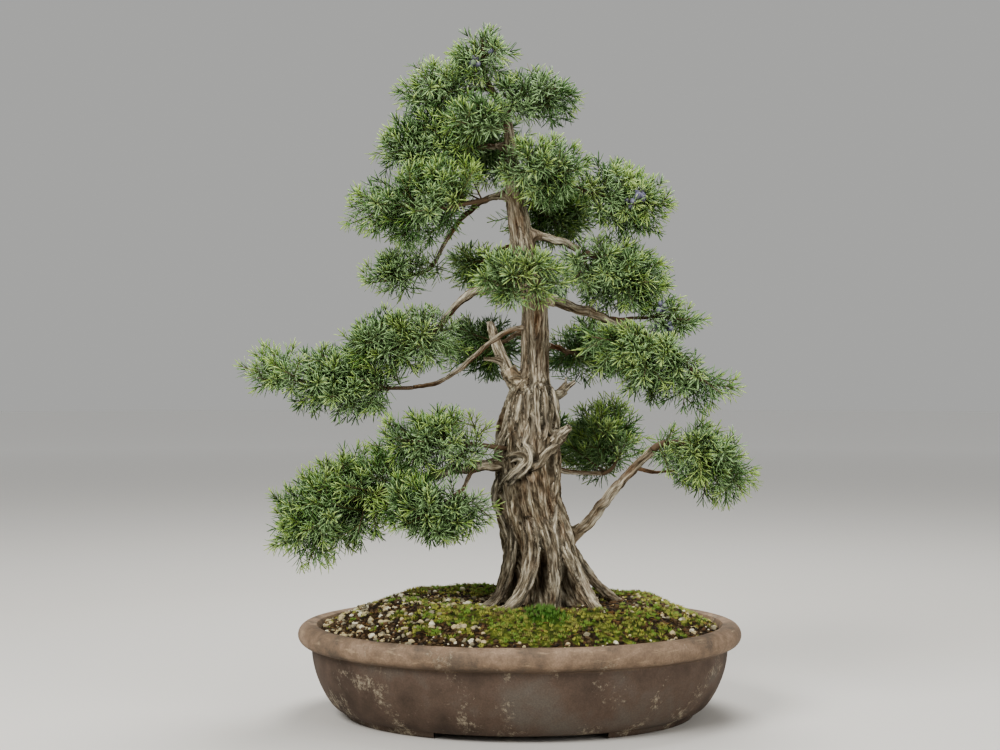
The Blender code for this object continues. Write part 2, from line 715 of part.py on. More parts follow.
class Surroundings:
    """What a twig or a spray may not touch."""

    def __init__(self):
        self.trees = []

    def add(self, obj):
        bm = bmesh.new()
        bm.from_mesh(obj.data)
        self.trees.append(BVHTree.FromBMesh(bm))
        bm.free()

    def is_clear(self, bm, near=NEAREST):
        own = BVHTree.FromBMesh(bm)
        for tree in self.trees:
            if tree.overlap(own):
                return False
            if any(tree.find_nearest(v.co, near)[0] is not None for v in bm.verts):
                return False
        return True


def star_trees(bm):
    """The faces round a shoot's side shoots, and those round its tip, to test against other shoots."""
    places = [v.co.copy() for v in bm.verts]
    star = len(places) - 7
    faces = [[v.index for v in face.verts] for face in bm.faces]
    outer = [face for face in faces if max(face) >= star]
    end = [face for face in faces if max(face) == len(places) - 1]
    return BVHTree.FromPolygons(places, outer), BVHTree.FromPolygons(places, end)


def crosses(trees, others):
    """Whether a shoot's end runs through another shoot of its mass, or the other's end through it."""
    return any(trees[1].overlap(other[0]) or trees[0].overlap(other[1]) for other in others)


def keeps_to_space(bm, pad, pads):
    for vert in bm.verts:
        depth = pad.depth(vert.co)
        if depth > SPACE_LIMIT:
            return False
        limit = min(depth, NEIGHBOUR_LIMIT)
        if any(other.depth(vert.co) < limit for other in pads if other is not pad):
            return False
    return True


def stem_start(pad, paths):
    """Where a pad's stem starts, its heading, its radius and how far along it the twigs may start."""
    on = pad.spec["on"]
    if on == "trunk_tip":
        middle, radius = trunk_at(TRUNK_LEVELS[-1][0] * MM)
        heading = Vector((0, 0, 1))
        return middle + heading * GAP, heading, radius * STEM_SHARES[0], STEM_BARE
    if isinstance(on, str):
        path = paths[on]
        heading = (path[-1] - path[-2]).normalized()
        tip_radius = LIMBS[on]["radius"][1] * MM
        return path[-1] + heading * GAP, heading, tip_radius * STEM_SHARES[1], STEM_BARE
    middle, radius = trunk_at(on * MM)
    heading = (pad.middle - middle).normalized()
    return middle, heading, min(radius * STEM_SHARES[2], STEM_THICKEST), radius + STEM_BARE


def add_if_clear(bm, name, pad, pads, around, group):
    if keeps_to_space(bm, pad, pads) and around.is_clear(bm):
        object_from(bm, name, group)
        return True
    bm.free()
    return False


def add_fruit(pad, stem, radius, around, pads, group):
    """Berries seated on the stem, near its foot."""
    for i in range(pad.spec.get("fruit", 0)):
        place, forward = along_path(stem, STEM_BARE * (FRUIT_FIRST + i))
        side, up = frame_of(forward)
        turn = i * TWIG_TURN
        out = side * math.cos(turn) + up * math.sin(turn)
        bm = bmesh.new()
        bmesh.ops.create_icosphere(bm, subdivisions=1, radius=FRUIT_RADIUS)
        at = place + out * (radius + FRUIT_RADIUS * FRUIT_SEAT)
        bmesh.ops.translate(bm, vec=at, verts=bm.verts)
        add_if_clear(bm, "berry", pad, pads, around, group)


def add_shoot(shoot, pad, pads, around, stars, group, fidget):
    """Adds one shoot, turned and made smaller until it has room, or leaves it out."""
    foot, way, length, roll = shoot
    half = SPRAY_HALF
    for _ in range(SPRAY_TRIES):
        bm = shoot_shape(length, half)
        bmesh.ops.transform(bm, matrix=placed(way, roll, foot), verts=bm.verts)
        bm.verts.index_update()
        trees = star_trees(bm)
        if not crosses(trees, stars) and add_if_clear(bm, "shoot", pad, pads, around, group):
            stars.append(trees)
            return True
        length = max(SPRAY_LENGTH * SPRAY_LEAST, length * SPRAY_SHRINK)
        half *= SPRAY_SHRINK
        roll += TWIG_TURN
        way = (way + Vector([fidget.uniform(-SPRAY_FIDGET, SPRAY_FIDGET) for _ in range(3)])).normalized()
    return False


def build_pad(pad, number, pads, paths, trunk_cutter, around, finish, group):
    """One mass of foliage: a stem, its twigs and their sprays, fused."""
    rng = random.Random(PAD_SEED + number)
    fidget = random.Random(FIDGET_SEED + number)
    start, heading, radius, least = stem_start(pad, paths)
    stem, far = stem_path(pad, start, heading, rng)
    body = tube(pad.name, stem, (radius, STEM_TIP_RADIUS), group, bevel=0)
    loose = collection("loose_" + pad.name, shown=False)
    add_fruit(pad, stem, radius, around, pads, loose)
    stars = []
    for foot, tip in twig_plan(pad, stem, far, least, rng):
        for shoot in spray_plan(foot, tip, rng):
            if not add_shoot(shoot, pad, pads, around, stars, loose, fidget):
                break
    boolean(body, loose, "UNION", "MANIFOLD")
    if not isinstance(pad.spec["on"], str):
        boolean(body, trunk_cutter, "DIFFERENCE", "MANIFOLD")
    body = made_plain(body, weld=False)
    for piece in list(loose.objects):
        bpy.data.objects.remove(piece)
    bpy.data.collections.remove(loose)
    keep_largest(body)
    paint(body, finish)
    around.add(body)
    return body


def centre_under_tree(objects):
    """Moves everything sideways, so that the origin is under the middle of the whole."""
    corners = [v.co for obj in objects for v in obj.data.vertices]
    middle = [(min(c[k] for c in corners) + max(c[k] for c in corners)) / 2 for k in range(2)]
    for obj in objects:
        obj.data.transform(Matrix.Translation((-middle[0], -middle[1], 0)))


def main():
    clear_scene()
    tree = collection("juniper_bonsai")
    cutters = collection("cutters", shown=False)
    stoneware = material("brown_stoneware", (0.13, 0.095, 0.07), 0.75)
    earth = material("moss_and_grit", (0.09, 0.10, 0.03), 0.95)
    bark = material("grey_brown_bark", (0.17, 0.135, 0.10), 0.9)
    deadwood = material("bleached_deadwood", (0.33, 0.29, 0.23), 0.9)
    needles = material("green_needles", (0.09, 0.19, 0.05), 0.6)

    pot = build_pot(stoneware, tree, cutters)
    soil = build_soil(earth, tree)
    trunk = trunk_mesh("trunk", tree)
    trunk.data.transform(Matrix.Translation((0, 0, GAP)))
    paint(trunk, bark, smooth=True)
    trunk_cutter = trunk_mesh("trunk_cut", cutters, grow=TRUNK_CLEAR)

    objects = [pot, soil, trunk]
    paths = {}
    for name, spec in LIMBS.items():
        finish = deadwood if name in STUBS else bark
        objects.append(build_limb(name, spec, paths, trunk_cutter, finish, tree, cutters))

    around = Surroundings()
    for obj in objects:
        around.add(obj)
    pads = [Pad(name, spec) for name, spec in PADS.items()]
    for number, pad in enumerate(pads):
        objects.append(build_pad(pad, number, pads, paths, trunk_cutter, around, needles, tree))
    centre_under_tree(objects)


main()
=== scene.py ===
# A common juniper bonsai in an oval stoneware pot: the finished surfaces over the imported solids.
# Lengths are metres. Everything is laid out round the middle of the pot's underside, as in the part's own
# source, and each finished piece is then moved to where the pot stands in the frame.

import json
import math
import random
from itertools import product

import bmesh
import bpy
import numpy as np
from mathutils import Matrix, Vector

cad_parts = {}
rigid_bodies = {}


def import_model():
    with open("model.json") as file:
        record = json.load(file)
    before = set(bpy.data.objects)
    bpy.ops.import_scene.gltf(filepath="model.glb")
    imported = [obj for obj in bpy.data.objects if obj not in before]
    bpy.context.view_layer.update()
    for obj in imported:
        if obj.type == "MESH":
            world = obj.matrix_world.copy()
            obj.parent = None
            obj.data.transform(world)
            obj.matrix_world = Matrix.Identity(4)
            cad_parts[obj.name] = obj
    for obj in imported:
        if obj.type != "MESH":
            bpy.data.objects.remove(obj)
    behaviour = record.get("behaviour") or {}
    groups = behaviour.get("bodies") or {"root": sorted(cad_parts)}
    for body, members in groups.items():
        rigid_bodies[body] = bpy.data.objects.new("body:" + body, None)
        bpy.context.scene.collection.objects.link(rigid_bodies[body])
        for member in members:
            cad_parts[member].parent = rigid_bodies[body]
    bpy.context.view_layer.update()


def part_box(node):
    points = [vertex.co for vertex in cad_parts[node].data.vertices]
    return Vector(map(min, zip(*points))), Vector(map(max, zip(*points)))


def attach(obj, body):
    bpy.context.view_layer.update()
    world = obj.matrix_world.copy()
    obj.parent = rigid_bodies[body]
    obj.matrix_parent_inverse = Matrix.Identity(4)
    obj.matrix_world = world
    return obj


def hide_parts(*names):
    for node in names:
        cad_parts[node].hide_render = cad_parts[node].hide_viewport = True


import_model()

mm = 0.001
potLow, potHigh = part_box("pot")
potMiddle = Vector(((potLow.x + potHigh.x) / 2, (potLow.y + potHigh.y) / 2, 0))
goldenTurn = math.radians(137.5)
viewPoint = Vector((-19.5 * mm, -1600 * mm, 337 * mm))  # where the photograph was taken from


# Small helpers for objects and edit mode

def deselectAll():
    if bpy.context.object and bpy.context.object.mode != "OBJECT":
        bpy.ops.object.mode_set(mode="OBJECT")
    bpy.ops.object.select_all(action="DESELECT")


def pick(*objects):
    deselectAll()
    for obj in objects:
        obj.select_set(True)
    bpy.context.view_layer.objects.active = objects[0]


def applyModifier(obj, kind, **settings):
    modifier = obj.modifiers.new(kind.title(), kind)
    for key, value in settings.items():
        setattr(modifier, key, value)
    pick(obj)
    bpy.ops.object.modifier_apply(modifier=modifier.name)


def meshFrom(name, places, faces):
    # an object from arrays of corner places and of triangles or quads
    mesh = bpy.data.meshes.new(name)
    places = np.asarray(places, dtype=np.float32)
    faces = np.asarray(faces, dtype=np.int32)
    count, sides = faces.shape
    mesh.vertices.add(len(places))
    mesh.vertices.foreach_set("co", places.ravel())
    mesh.loops.add(count * sides)
    mesh.loops.foreach_set("vertex_index", faces.ravel())
    mesh.polygons.add(count)
    mesh.polygons.foreach_set("loop_start", np.arange(count, dtype=np.int32) * sides)
    mesh.update(calc_edges=True)
    obj = bpy.data.objects.new(name, mesh)
    bpy.context.scene.collection.objects.link(obj)
    return obj


def placesOf(obj):
    places = np.empty(len(obj.data.vertices) * 3)
    obj.data.vertices.foreach_get("co", places)
    return places.reshape(-1, 3)


def setPlaces(obj, places):
    obj.data.vertices.foreach_set("co", np.asarray(places, dtype=np.float32).ravel())
    obj.data.update()


def normalsOf(obj):
    normals = np.empty(len(obj.data.vertices) * 3)
    obj.data.vertices.foreach_get("normal", normals)
    return normals.reshape(-1, 3)


def storeValues(obj, name, values):
    # one number or one vector for each point of the mesh, for the materials to read
    values = np.asarray(values, dtype=np.float32)
    kind, key = ("FLOAT", "value") if values.ndim == 1 else ("FLOAT_VECTOR", "vector")
    attribute = obj.data.attributes.new(name, kind, "POINT")
    attribute.data.foreach_set(key, values.ravel())


def dress(obj, *finishes):
    obj.data.materials.clear()
    for finish in finishes:
        obj.data.materials.append(finish)


def smoothOver(obj, angle=None):
    # smooth shading, all over or up to an angle in degrees
    pick(obj)
    if angle is None:
        bpy.ops.object.shade_smooth()
    else:
        bpy.ops.object.shade_smooth_by_angle(angle=math.radians(angle))


def finishPiece(obj, slotName, *nodes):
    # moves a finished piece into the frame, hides the imported parts it stands for and prints its triangles
    obj.data.transform(Matrix.Translation(potMiddle))
    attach(obj, "root")
    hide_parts(*nodes)
    print("made", obj.name, "with", sum(len(face.vertices) - 2 for face in obj.data.polygons), "triangles")


# Noise on arrays of places

def softNoise(places, seed=0):
    # smooth gradient noise, about -1 to 1, with one feature to a unit
    cells = np.floor(places).astype(np.int64)
    parts = places - cells
    fades = parts ** 3 * (parts * (parts * 6 - 15) + 10)
    total = np.zeros(len(places))
    for corner in product((0, 1), repeat=3):
        at = cells + corner
        mixed = at[:, 0] * 73856093 ^ at[:, 1] * 19349663 ^ at[:, 2] * 83492791 ^ (seed + 1) * 40503
        mixed = ((mixed ^ (mixed >> 13)) * 1274126177) & 0xffffffff
        mixed = (mixed ^ (mixed >> 16)) & 0xffffffff
        turn = (mixed & 0xffff) / 65536 * 2 * math.pi
        lift = ((mixed >> 16) & 0xffff) / 32768 - 1
        ring = np.sqrt(np.maximum(0, 1 - lift * lift))
        away = parts - corner
        slope = away[:, 0] * ring * np.cos(turn) + away[:, 1] * ring * np.sin(turn) + away[:, 2] * lift
        weight = np.prod(np.where(np.array(corner) == 1, fades, 1 - fades), axis=1)
        total += weight * slope
    return total * 1.6


def crease(places, width, seed=0):
    # 1 along thin winding lines and 0 between them
    return np.exp(-(softNoise(places, seed) / width) ** 2)


def smoothStep(values, low, high):
    share = np.clip((values - low) / (high - low), 0, 1)
    return share * share * (3 - 2 * share)


# Materials: one function turns hex to linear, one adds a node, and short ones add the kinds used most

def linear(hexText):
    values = [int(hexText[i:i + 2], 16) / 255 for i in (1, 3, 5)]
    return tuple(v / 12.92 if v <= 0.04045 else ((v + 0.055) / 1.055) ** 2.4 for v in values) + (1,)


def addNode(tree, kind, output, inputs=None, **settings):
    # an input is a number, a colour as hex text, or what another node gives. Returns the output named
    made = tree.nodes.new("ShaderNode" + kind)
    for key, value in settings.items():
        setattr(made, key, value)
    for key, value in (inputs or {}).items():
        if isinstance(value, bpy.types.NodeSocket):
            tree.links.new(value, made.inputs[key])
        else:
            made.inputs[key].default_value = linear(value) if isinstance(value, str) else value
    return made.outputs[output]


def addNoise(tree, place, size, detail, roughness):
    # noise with features of this many millimetres
    return addNode(tree, "TexNoise", "Fac", {"Vector": place, "Scale": 1 / (size * mm), "Detail": detail,
                                             "Roughness": roughness})


def addRange(tree, value, fromLow, fromHigh, toLow=0, toHigh=1):
    return addNode(tree, "MapRange", "Result", {"Value": value, "From Min": fromLow, "From Max": fromHigh,
                                                "To Min": toLow, "To Max": toHigh})


def addMath(tree, operation, *values, clamp=False):
    return addNode(tree, "Math", "Value", dict(enumerate(values)), operation=operation, use_clamp=clamp)


def addMix(tree, share, first, second, kind="MIX"):
    return addNode(tree, "MixRGB", "Color", {"Fac": share, "Color1": first, "Color2": second}, blend_type=kind)


def addRamp(tree, value, stops):
    made = tree.nodes.new("ShaderNodeValToRGB")
    elements = made.color_ramp.elements
    while len(elements) < len(stops):
        elements.new(1)
    for element, (position, colour) in zip(elements, stops):
        element.position = position
        element.color = linear(colour)
    tree.links.new(value, made.inputs["Fac"])
    return made.outputs["Color"]


def addBump(tree, shader, height, strength, distance):
    bump = addNode(tree, "Bump", "Normal", {"Height": height, "Strength": strength, "Distance": distance})
    tree.links.new(bump, shader.inputs["Normal"])


def newFinish(name, colour, roughness, specular=0.5):
    finish = bpy.data.materials.new(name)
    finish.use_nodes = True
    shader = finish.node_tree.nodes["Principled BSDF"]
    shader.inputs["Base Color"].default_value = linear(colour)
    shader.inputs["Roughness"].default_value = roughness
    shader.inputs["Specular IOR Level"].default_value = specular
    return finish, finish.node_tree, shader


def newFinishes(colours, roughness, specular=0.5):
    return [newFinish(name, colour, roughness, specular)[0] for name, colour in colours]


# Unglazed stoneware, thrown and fired brown-grey: matt, with a fine grain, a rim painted lighter and warmer than
# the wall, partly rubbed wear and partly painted highlight, and with pale lime marks where water has dried
stonewareLook = dict(
    # the pale streak colour on the rim is partly wear and partly painted highlight
    body="#5a4b40", roughness=0.72, specular=0.35, rubAndHighlight="#ab977c", lime="#a79d88",
    wall=((0.32, "#43372e"), (0.5, "#5a4b40"), (0.68, "#5f574e")),
    # the rim's ramp is lighter and warmer than the wall's: partly wear, partly painted highlight
    rim=((0.38, "#64574a"), (0.5, "#7a6755"), (0.62, "#8d7966")),
    # noises: size in millimetres, detail and roughness
    cloud=(55, 5, 0.6), rimMottle=(30, 7, 0.66), streak=(26, 8, 0.72), patch=(34, 3, 0.5), speck=(4.4, 9, 0.8),
    grain=(1.6, 4, 0.7),
    # ranges: what they run from and to, and what that becomes
    onRim=(66 * mm, 74 * mm), rubbedAndLit=(0.56, 0.7, 0, 0.7), lowWall=(62 * mm, 8 * mm, -0.035, 0.06),
    limed=(0.315, 0.4, 0, 0.75), tone=(0.3, 0.7, 0.78, 1.2), rough=(0, 1, 0.62, 0.85),
    streakFlat=6, grainHeight=0.35, bump=(0.55, 0.5 * mm),
)


def makeStoneware():
    look = stonewareLook
    finish, tree, shader = newFinish("unglazedStoneware", look["body"], look["roughness"], look["specular"])
    place = addNode(tree, "TexCoord", "Object")
    height = addNode(tree, "SeparateXYZ", "Z", {"Vector": place})
    wall = addRamp(tree, addNoise(tree, place, *look["cloud"]), look["wall"])
    # the rim band takes a lighter, warmer ramp than the wall: partly wear, partly painted highlight
    onRim = addRange(tree, height, *look["onRim"])
    rim = addMix(tree, onRim, wall, addRamp(tree, addNoise(tree, place, *look["rimMottle"]), look["rim"]))
    # lighter streaks run round the rim: partly rubbed wear, partly painted highlight
    flat = addNode(tree, "Mapping", "Vector", {"Vector": place, "Scale": (1, 1, look["streakFlat"])})
    rubbedAndLit = addRange(tree, addNoise(tree, flat, *look["streak"]), *look["rubbedAndLit"])
    wearAndHighlight = addMix(tree, addMath(tree, "MULTIPLY", rubbedAndLit, onRim), rim, look["rubAndHighlight"])
    # lime marks: broken patches, dense low on the wall and thin higher up
    patch = addNoise(tree, place, *look["patch"])
    speck = addNoise(tree, place, *look["speck"])
    spread = addMath(tree, "ADD", patch, addRange(tree, height, *look["lowWall"]))
    limed = addRange(tree, addMath(tree, "MULTIPLY", spread, speck), *look["limed"])
    marked = addMix(tree, limed, wearAndHighlight, look["lime"])
    grain = addNoise(tree, place, *look["grain"])
    grained = addMix(tree, 1, marked, addRange(tree, grain, *look["tone"]), "MULTIPLY")
    tree.links.new(grained, shader.inputs["Base Color"])
    tree.links.new(addRange(tree, grain, *look["rough"]), shader.inputs["Roughness"])
    addBump(tree, shader, addMath(tree, "MULTIPLY_ADD", grain, look["grainHeight"], limed), *look["bump"])
    return finish


# The pot: a rolled rim over a full bowl, a groove above a low foot, and two long gaps that leave two feet
potForm = dict(
    oval=0.767, sides=176, footHalf=172 * mm, footHeight=6.6 * mm, footWidth=15 * mm, footFlare=3 * mm,
    gapHalf=81 * mm, wallLow=178.5 * mm, wallHigh=207 * mm, wallHeight=69.5 * mm, wallThick=9.5 * mm,
    fullness=0.65, wallPoints=22, rimRadius=10.9 * mm, rimHalf=209.5 * mm, rimInner=200.5 * mm, rimPoints=18,
    floorTop=14 * mm, floorHalf=160 * mm, drainRadius=11 * mm, drainOffset=75 * mm,
    grooveDepth=1.1 * mm, grooveHeight=2.4 * mm, grooveWidth=1.5 * mm,
    wobble=0.5 * mm, wobbleSize=70 * mm, wobbleSeed=11, level=(8 * mm, 30 * mm), smooth=38,
)


def wallHalf(height, inset=0):
    form = potForm
    share = max(0, (height - form["footHeight"]) / (form["wallHeight"] - form["footHeight"]))
    swell = math.sin(math.pi / 2 * min(1, share)) ** form["fullness"]
    return form["wallLow"] + (form["wallHigh"] - form["wallLow"]) * swell - inset


def potOutline():
    # from the middle of the floor up the inside, round the rim, down the outside and under the foot
    form = potForm
    rimMiddle = form["wallHeight"] + form["rimRadius"]
    outline = [(1 * mm, form["floorTop"]), (form["floorHalf"], form["floorTop"])]
    for i in range(1, 9):
        height = form["floorTop"] + (form["wallHeight"] - form["floorTop"]) * i / 8
        outline.append((wallHalf(height, form["wallThick"]), height))
    outline.append((form["rimInner"] - 0.8 * mm, rimMiddle + 0.55 * form["rimRadius"]))
    outline.append((form["rimInner"] + 1.6 * mm, rimMiddle + 0.9 * form["rimRadius"]))
    for i in range(form["rimPoints"] + 1):
        angle = math.pi / 2 - math.pi * i / form["rimPoints"]
        outline.append((form["rimHalf"] + form["rimRadius"] * math.cos(angle),
                        rimMiddle + form["rimRadius"] * math.sin(angle)))
    span = form["wallHeight"] - form["footHeight"]
    for i in range(form["wallPoints"]):
        height = form["wallHeight"] - span * ((i + 0.5) / form["wallPoints"])
        # the groove that a turning tool leaves above the foot
        away = (height - form["footHeight"] - form["grooveHeight"]) / form["grooveWidth"]
        outline.append((wallHalf(height) - form["grooveDepth"] * math.exp(-away ** 2), height))
    half, height, flare = form["footHalf"], form["footHeight"], form["footFlare"]
    inside = half - form["footWidth"]
    outline += [
        (form["wallLow"] - 0.4 * mm, height + 0.3 * mm),
        (half + flare + 0.5 * mm, height - 1.2 * mm),
        (half + flare - 0.6 * mm, height - 2.6 * mm),
        (half + 0.9 * mm, 0.9 * mm),
        (half - 0.4 * mm, 0.1 * mm),
        (half - 2 * mm, 0),
        (inside, 0),
        (inside - 1 * mm, 1 * mm),
        (inside - 1.5 * mm, height),
        (1 * mm, height),
    ]
    return outline


def turnOval(name, outline, sides, oval):
    # a circle drawn out through the outline's radii and heights, closed at both ends
    deselectAll()
    bpy.ops.mesh.primitive_circle_add(vertices=sides, radius=outline[0][0], location=(0, 0, outline[0][1]))
    obj = bpy.context.object
    obj.name = obj.data.name = name
    bpy.ops.object.transform_apply(location=True, rotation=False, scale=False)
    bpy.ops.object.mode_set(mode="EDIT")
    bpy.ops.mesh.select_all(action="SELECT")
    bpy.ops.mesh.edge_face_add()
    for (radius, height), (nextRadius, nextHeight) in zip(outline, outline[1:]):
        bpy.ops.mesh.extrude_region_move(TRANSFORM_OT_translate={"value": (0, 0, nextHeight - height)})
        ratio = nextRadius / radius
        bpy.ops.transform.resize(value=(ratio, ratio, 1), center_override=(0, 0, nextHeight))
    bpy.ops.mesh.select_all(action="SELECT")
    bpy.ops.transform.resize(value=(1, oval, 1), center_override=(0, 0, 0))
    bpy.ops.mesh.normals_make_consistent(inside=False)
    bpy.ops.object.mode_set(mode="OBJECT")
    return obj


def cutAway(obj, cutter):
    applyModifier(obj, "BOOLEAN", operation="DIFFERENCE", object=cutter, solver="EXACT")
    bpy.data.objects.remove(cutter)


def makePot(finish):
    form = potForm
    pot = turnOval("bonsaiPot", potOutline(), form["sides"], form["oval"])
    depth = form["footHalf"] * form["oval"]
    for side in (-1, 1):
        deselectAll()
        bpy.ops.mesh.primitive_cube_add(size=1, location=(0, side * depth, 0))
        cutter = bpy.context.object
        cutter.scale = (2 * form["gapHalf"], depth, 2 * form["footHeight"] - 1.4 * mm)
        cutAway(pot, cutter)
        deselectAll()
        bpy.ops.mesh.primitive_cylinder_add(vertices=32, radius=form["drainRadius"], depth=form["floorTop"] * 3,
                                            location=(side * form["drainOffset"], 0, form["floorTop"]))
        cutAway(pot, bpy.context.object)
    # slow unevenness from firing, held level where the pot stands
    places = placesOf(pot)
    fade = smoothStep(places[:, 2], *form["level"])
    for axis in range(3):
        noise = softNoise(places / form["wobbleSize"], form["wobbleSeed"] + axis)
        places[:, axis] += form["wobble"] * fade * noise
    setPlaces(pot, places)
    smoothOver(pot, form["smooth"])
    dress(pot, finish)
    finishPiece(pot, "stoneware", "pot")


# The ground in the pot: cushions of moss, dark soil between them, pumice grit and crumbs of soil
groundForm = dict(
    top=114 * mm, edge=86 * mm, plateau=0.61, fall=0.85, cells=236, half=198 * mm, oval=0.767, inset=0.985,
    floor=60 * mm, skirt=20 * mm, skirtShare=0.975,
    # low cushions and hollows, as in the part's source: place (right, back), radius and rise in millimetres
    cushions=((-34, -110, 27, 3.2), (36, -122, 25, 2.8), (104, -88, 29, 3.2), (152, -26, 27, 3), (126, 56, 40, 6),
              (38, 120, 31, 3), (-52, 104, 32, 3.4), (-104, 46, 29, 3), (-150, 2, 24, 2.4), (-112, -48, 25, -2.4),
              (-72, -14, 22, -2), (-84, -96, 22, 2), (70, -100, 18, -2), (168, 22, 20, -1.6), (92, 96, 20, -1.6)),
    treeFoot=28 * mm, flat=(94 * mm, 116 * mm), calm=(0.9, 1.0), washed=2.6 * mm, washedTo=(64 * mm, 100 * mm),
    seed=5, tufts=3400, tuftBlades=12, tuftSize=(1.8 * mm, 3.6 * mm), bladeHeight=(1.0 * mm, 3.4 * mm),
    bladeWidth=0.85 * mm, pebbles=660, pebbleSize=(1.3 * mm, 3.8 * mm), crumbs=2600,
    crumbSize=(1 * mm, 2.8 * mm), litter=560, litterLength=9 * mm, litterWidth=0.9 * mm, sunk=0.9 * mm,
    # noise: strength, size in millimetres and seed. The reliefs' strengths are millimetres too
    mossPatches=((0.75, 24, 3), (0.55, 10, 4), (0.3, 5, 14)), swell=(0.8, 15, 2), mossThick=1.1,
    mossRelief=((1.5, 8, 6), (0.6, 3, 7)), rubble=((0.9, 4, 8), (0.5, 2, 9)),
    # places with more moss: middle and half widths in millimetres, and how much more
    mossy=((20, -104, 90, 30, 0.5), (-74, -74, 42, 30, 0.45)),
    tuft=(22, -103, 19, 15), tuftEdge=1.6, tuftRise=6.5 * mm,
)


def groundShare(x, y):
    return np.sqrt((x / groundForm["half"]) ** 2 + (y / (groundForm["half"] * groundForm["oval"])) ** 2)


def footDistance(x, y):
    return np.hypot(x - groundForm["treeFoot"], y)


def groundNoise(x, y, *layers):
    # noise over the ground: the strength, size in millimetres and seed of each layer
    flat = np.column_stack((x, y, np.zeros_like(x)))
    return sum(strength * softNoise(flat / (size * mm), seed) for strength, size, seed in layers)


def mossAmount(x, y):
    # how mossy the ground is: thick along the back and in front, thin on the left and close to the roots
    amount = 0.14 + groundNoise(x, y, *groundForm["mossPatches"])
    for middleX, middleY, halfX, halfY, strength in groundForm["mossy"]:
        amount += strength * np.exp(-((x / mm - middleX) / halfX) ** 2 - ((y / mm - middleY) / halfY) ** 2)
    back = smoothStep(y, 20 * mm, 80 * mm)
    amount += 0.7 * back
    amount -= 0.3 * smoothStep(-x, 10 * mm, 120 * mm) * smoothStep(-y, -80 * mm, 40 * mm)
    amount -= 0.7 * (1 - smoothStep(footDistance(x, y), 58 * mm, 84 * mm))
    amount -= 0.3 * smoothStep(groundShare(x, y), 0.88, 0.98) * (1 - back)
    return smoothStep(amount, 0.0, 0.36)


def mossClumps(x, y):
    # moss stands in cushions a few millimetres wide, with dark gaps between them
    return 0.12 + 0.88 * smoothStep(groundNoise(x, y, (1, 5, 33)), -0.45, 0.1)


def tuftAmount(x, y):
    # the bright, higher tuft in front of the trunk
    middleX, middleY, halfX, halfY = (size * mm for size in groundForm["tuft"])
    return np.exp(-(((x - middleX) / halfX) ** 2 + ((y - middleY) / halfY) ** 2) ** groundForm["tuftEdge"])


def groundHeight(x, y):
    form = groundForm
    share = groundShare(x, y)
    out = np.clip((share - form["plateau"]) / (1 - form["plateau"]), 0, 1)
    base = form["edge"] + (form["top"] - form["edge"]) * (1 - out) ** form["fall"]
    rise = np.zeros_like(x)
    for across, back, radius, height in form["cushions"]:
        rise += height * mm * np.exp(-((x / mm - across) ** 2 + (y / mm - back) ** 2) / radius ** 2)
    away = footDistance(x, y)
    rise *= smoothStep(away, *form["flat"]) * (1 - smoothStep(share, *form["calm"]))
    # rain has washed a little soil from between the roots
    rise -= form["washed"] * (1 - smoothStep(away, *form["washedTo"]))
    moss = mossAmount(x, y)
    relief = groundNoise(x, y, form["swell"])
    relief += moss * (form["mossThick"] + groundNoise(x, y, *form["mossRelief"]))
    relief += (1 - moss) * groundNoise(x, y, *form["rubble"])
    fade = 1 - smoothStep(share, 0.93, 1.0)
    rise += relief * mm * (0.3 + 0.7 * fade) + form["tuftRise"] * tuftAmount(x, y)
    return base + rise - form["sunk"]


# Moss over moist soil: olive to yellow-green cushions and a deep green tuft, dark crumbly brown between them
groundLook = dict(
    base="#372a1b", roughness=0.95, specular=0.15, tuft="#274a15",
    moss=((0.36, "#1f2410"), (0.5, "#454d20"), (0.66, "#7a7f3c")),
    soil=((0.38, "#1c150d"), (0.52, "#372a1b"), (0.68, "#5f4a31")),
    # noises and a range as in the stoneware's look, and how much the noise breaks up the moss's edge
    mossGrain=(8, 8, 0.7), soilGrain=(5.2, 6, 0.7), edge=(0.6, -0.3), sharp=(0.35, 0.6), bump=(0.9, 1.2 * mm),
)


def makeGroundFinish():
    look = groundLook
    finish, tree, shader = newFinish("mossAndSoil", look["base"], look["roughness"], look["specular"])
    place = addNode(tree, "TexCoord", "Object")
    mossy = addNode(tree, "Attribute", "Fac", attribute_name="mossy")
    tufted = addNode(tree, "Attribute", "Fac", attribute_name="tufted")
    mossNoise = addNoise(tree, place, *look["mossGrain"])
    moss = addMix(tree, tufted, addRamp(tree, mossNoise, look["moss"]), look["tuft"])
    soil = addRamp(tree, addNoise(tree, place, *look["soilGrain"]), look["soil"])
    edge = addMath(tree, "MULTIPLY_ADD", mossNoise, *look["edge"])
    share = addRange(tree, addMath(tree, "ADD", mossy, edge, clamp=True), *look["sharp"])
    tree.links.new(addMix(tree, share, soil, moss), shader.inputs["Base Color"])
    addBump(tree, shader, mossNoise, *look["bump"])
    return finish


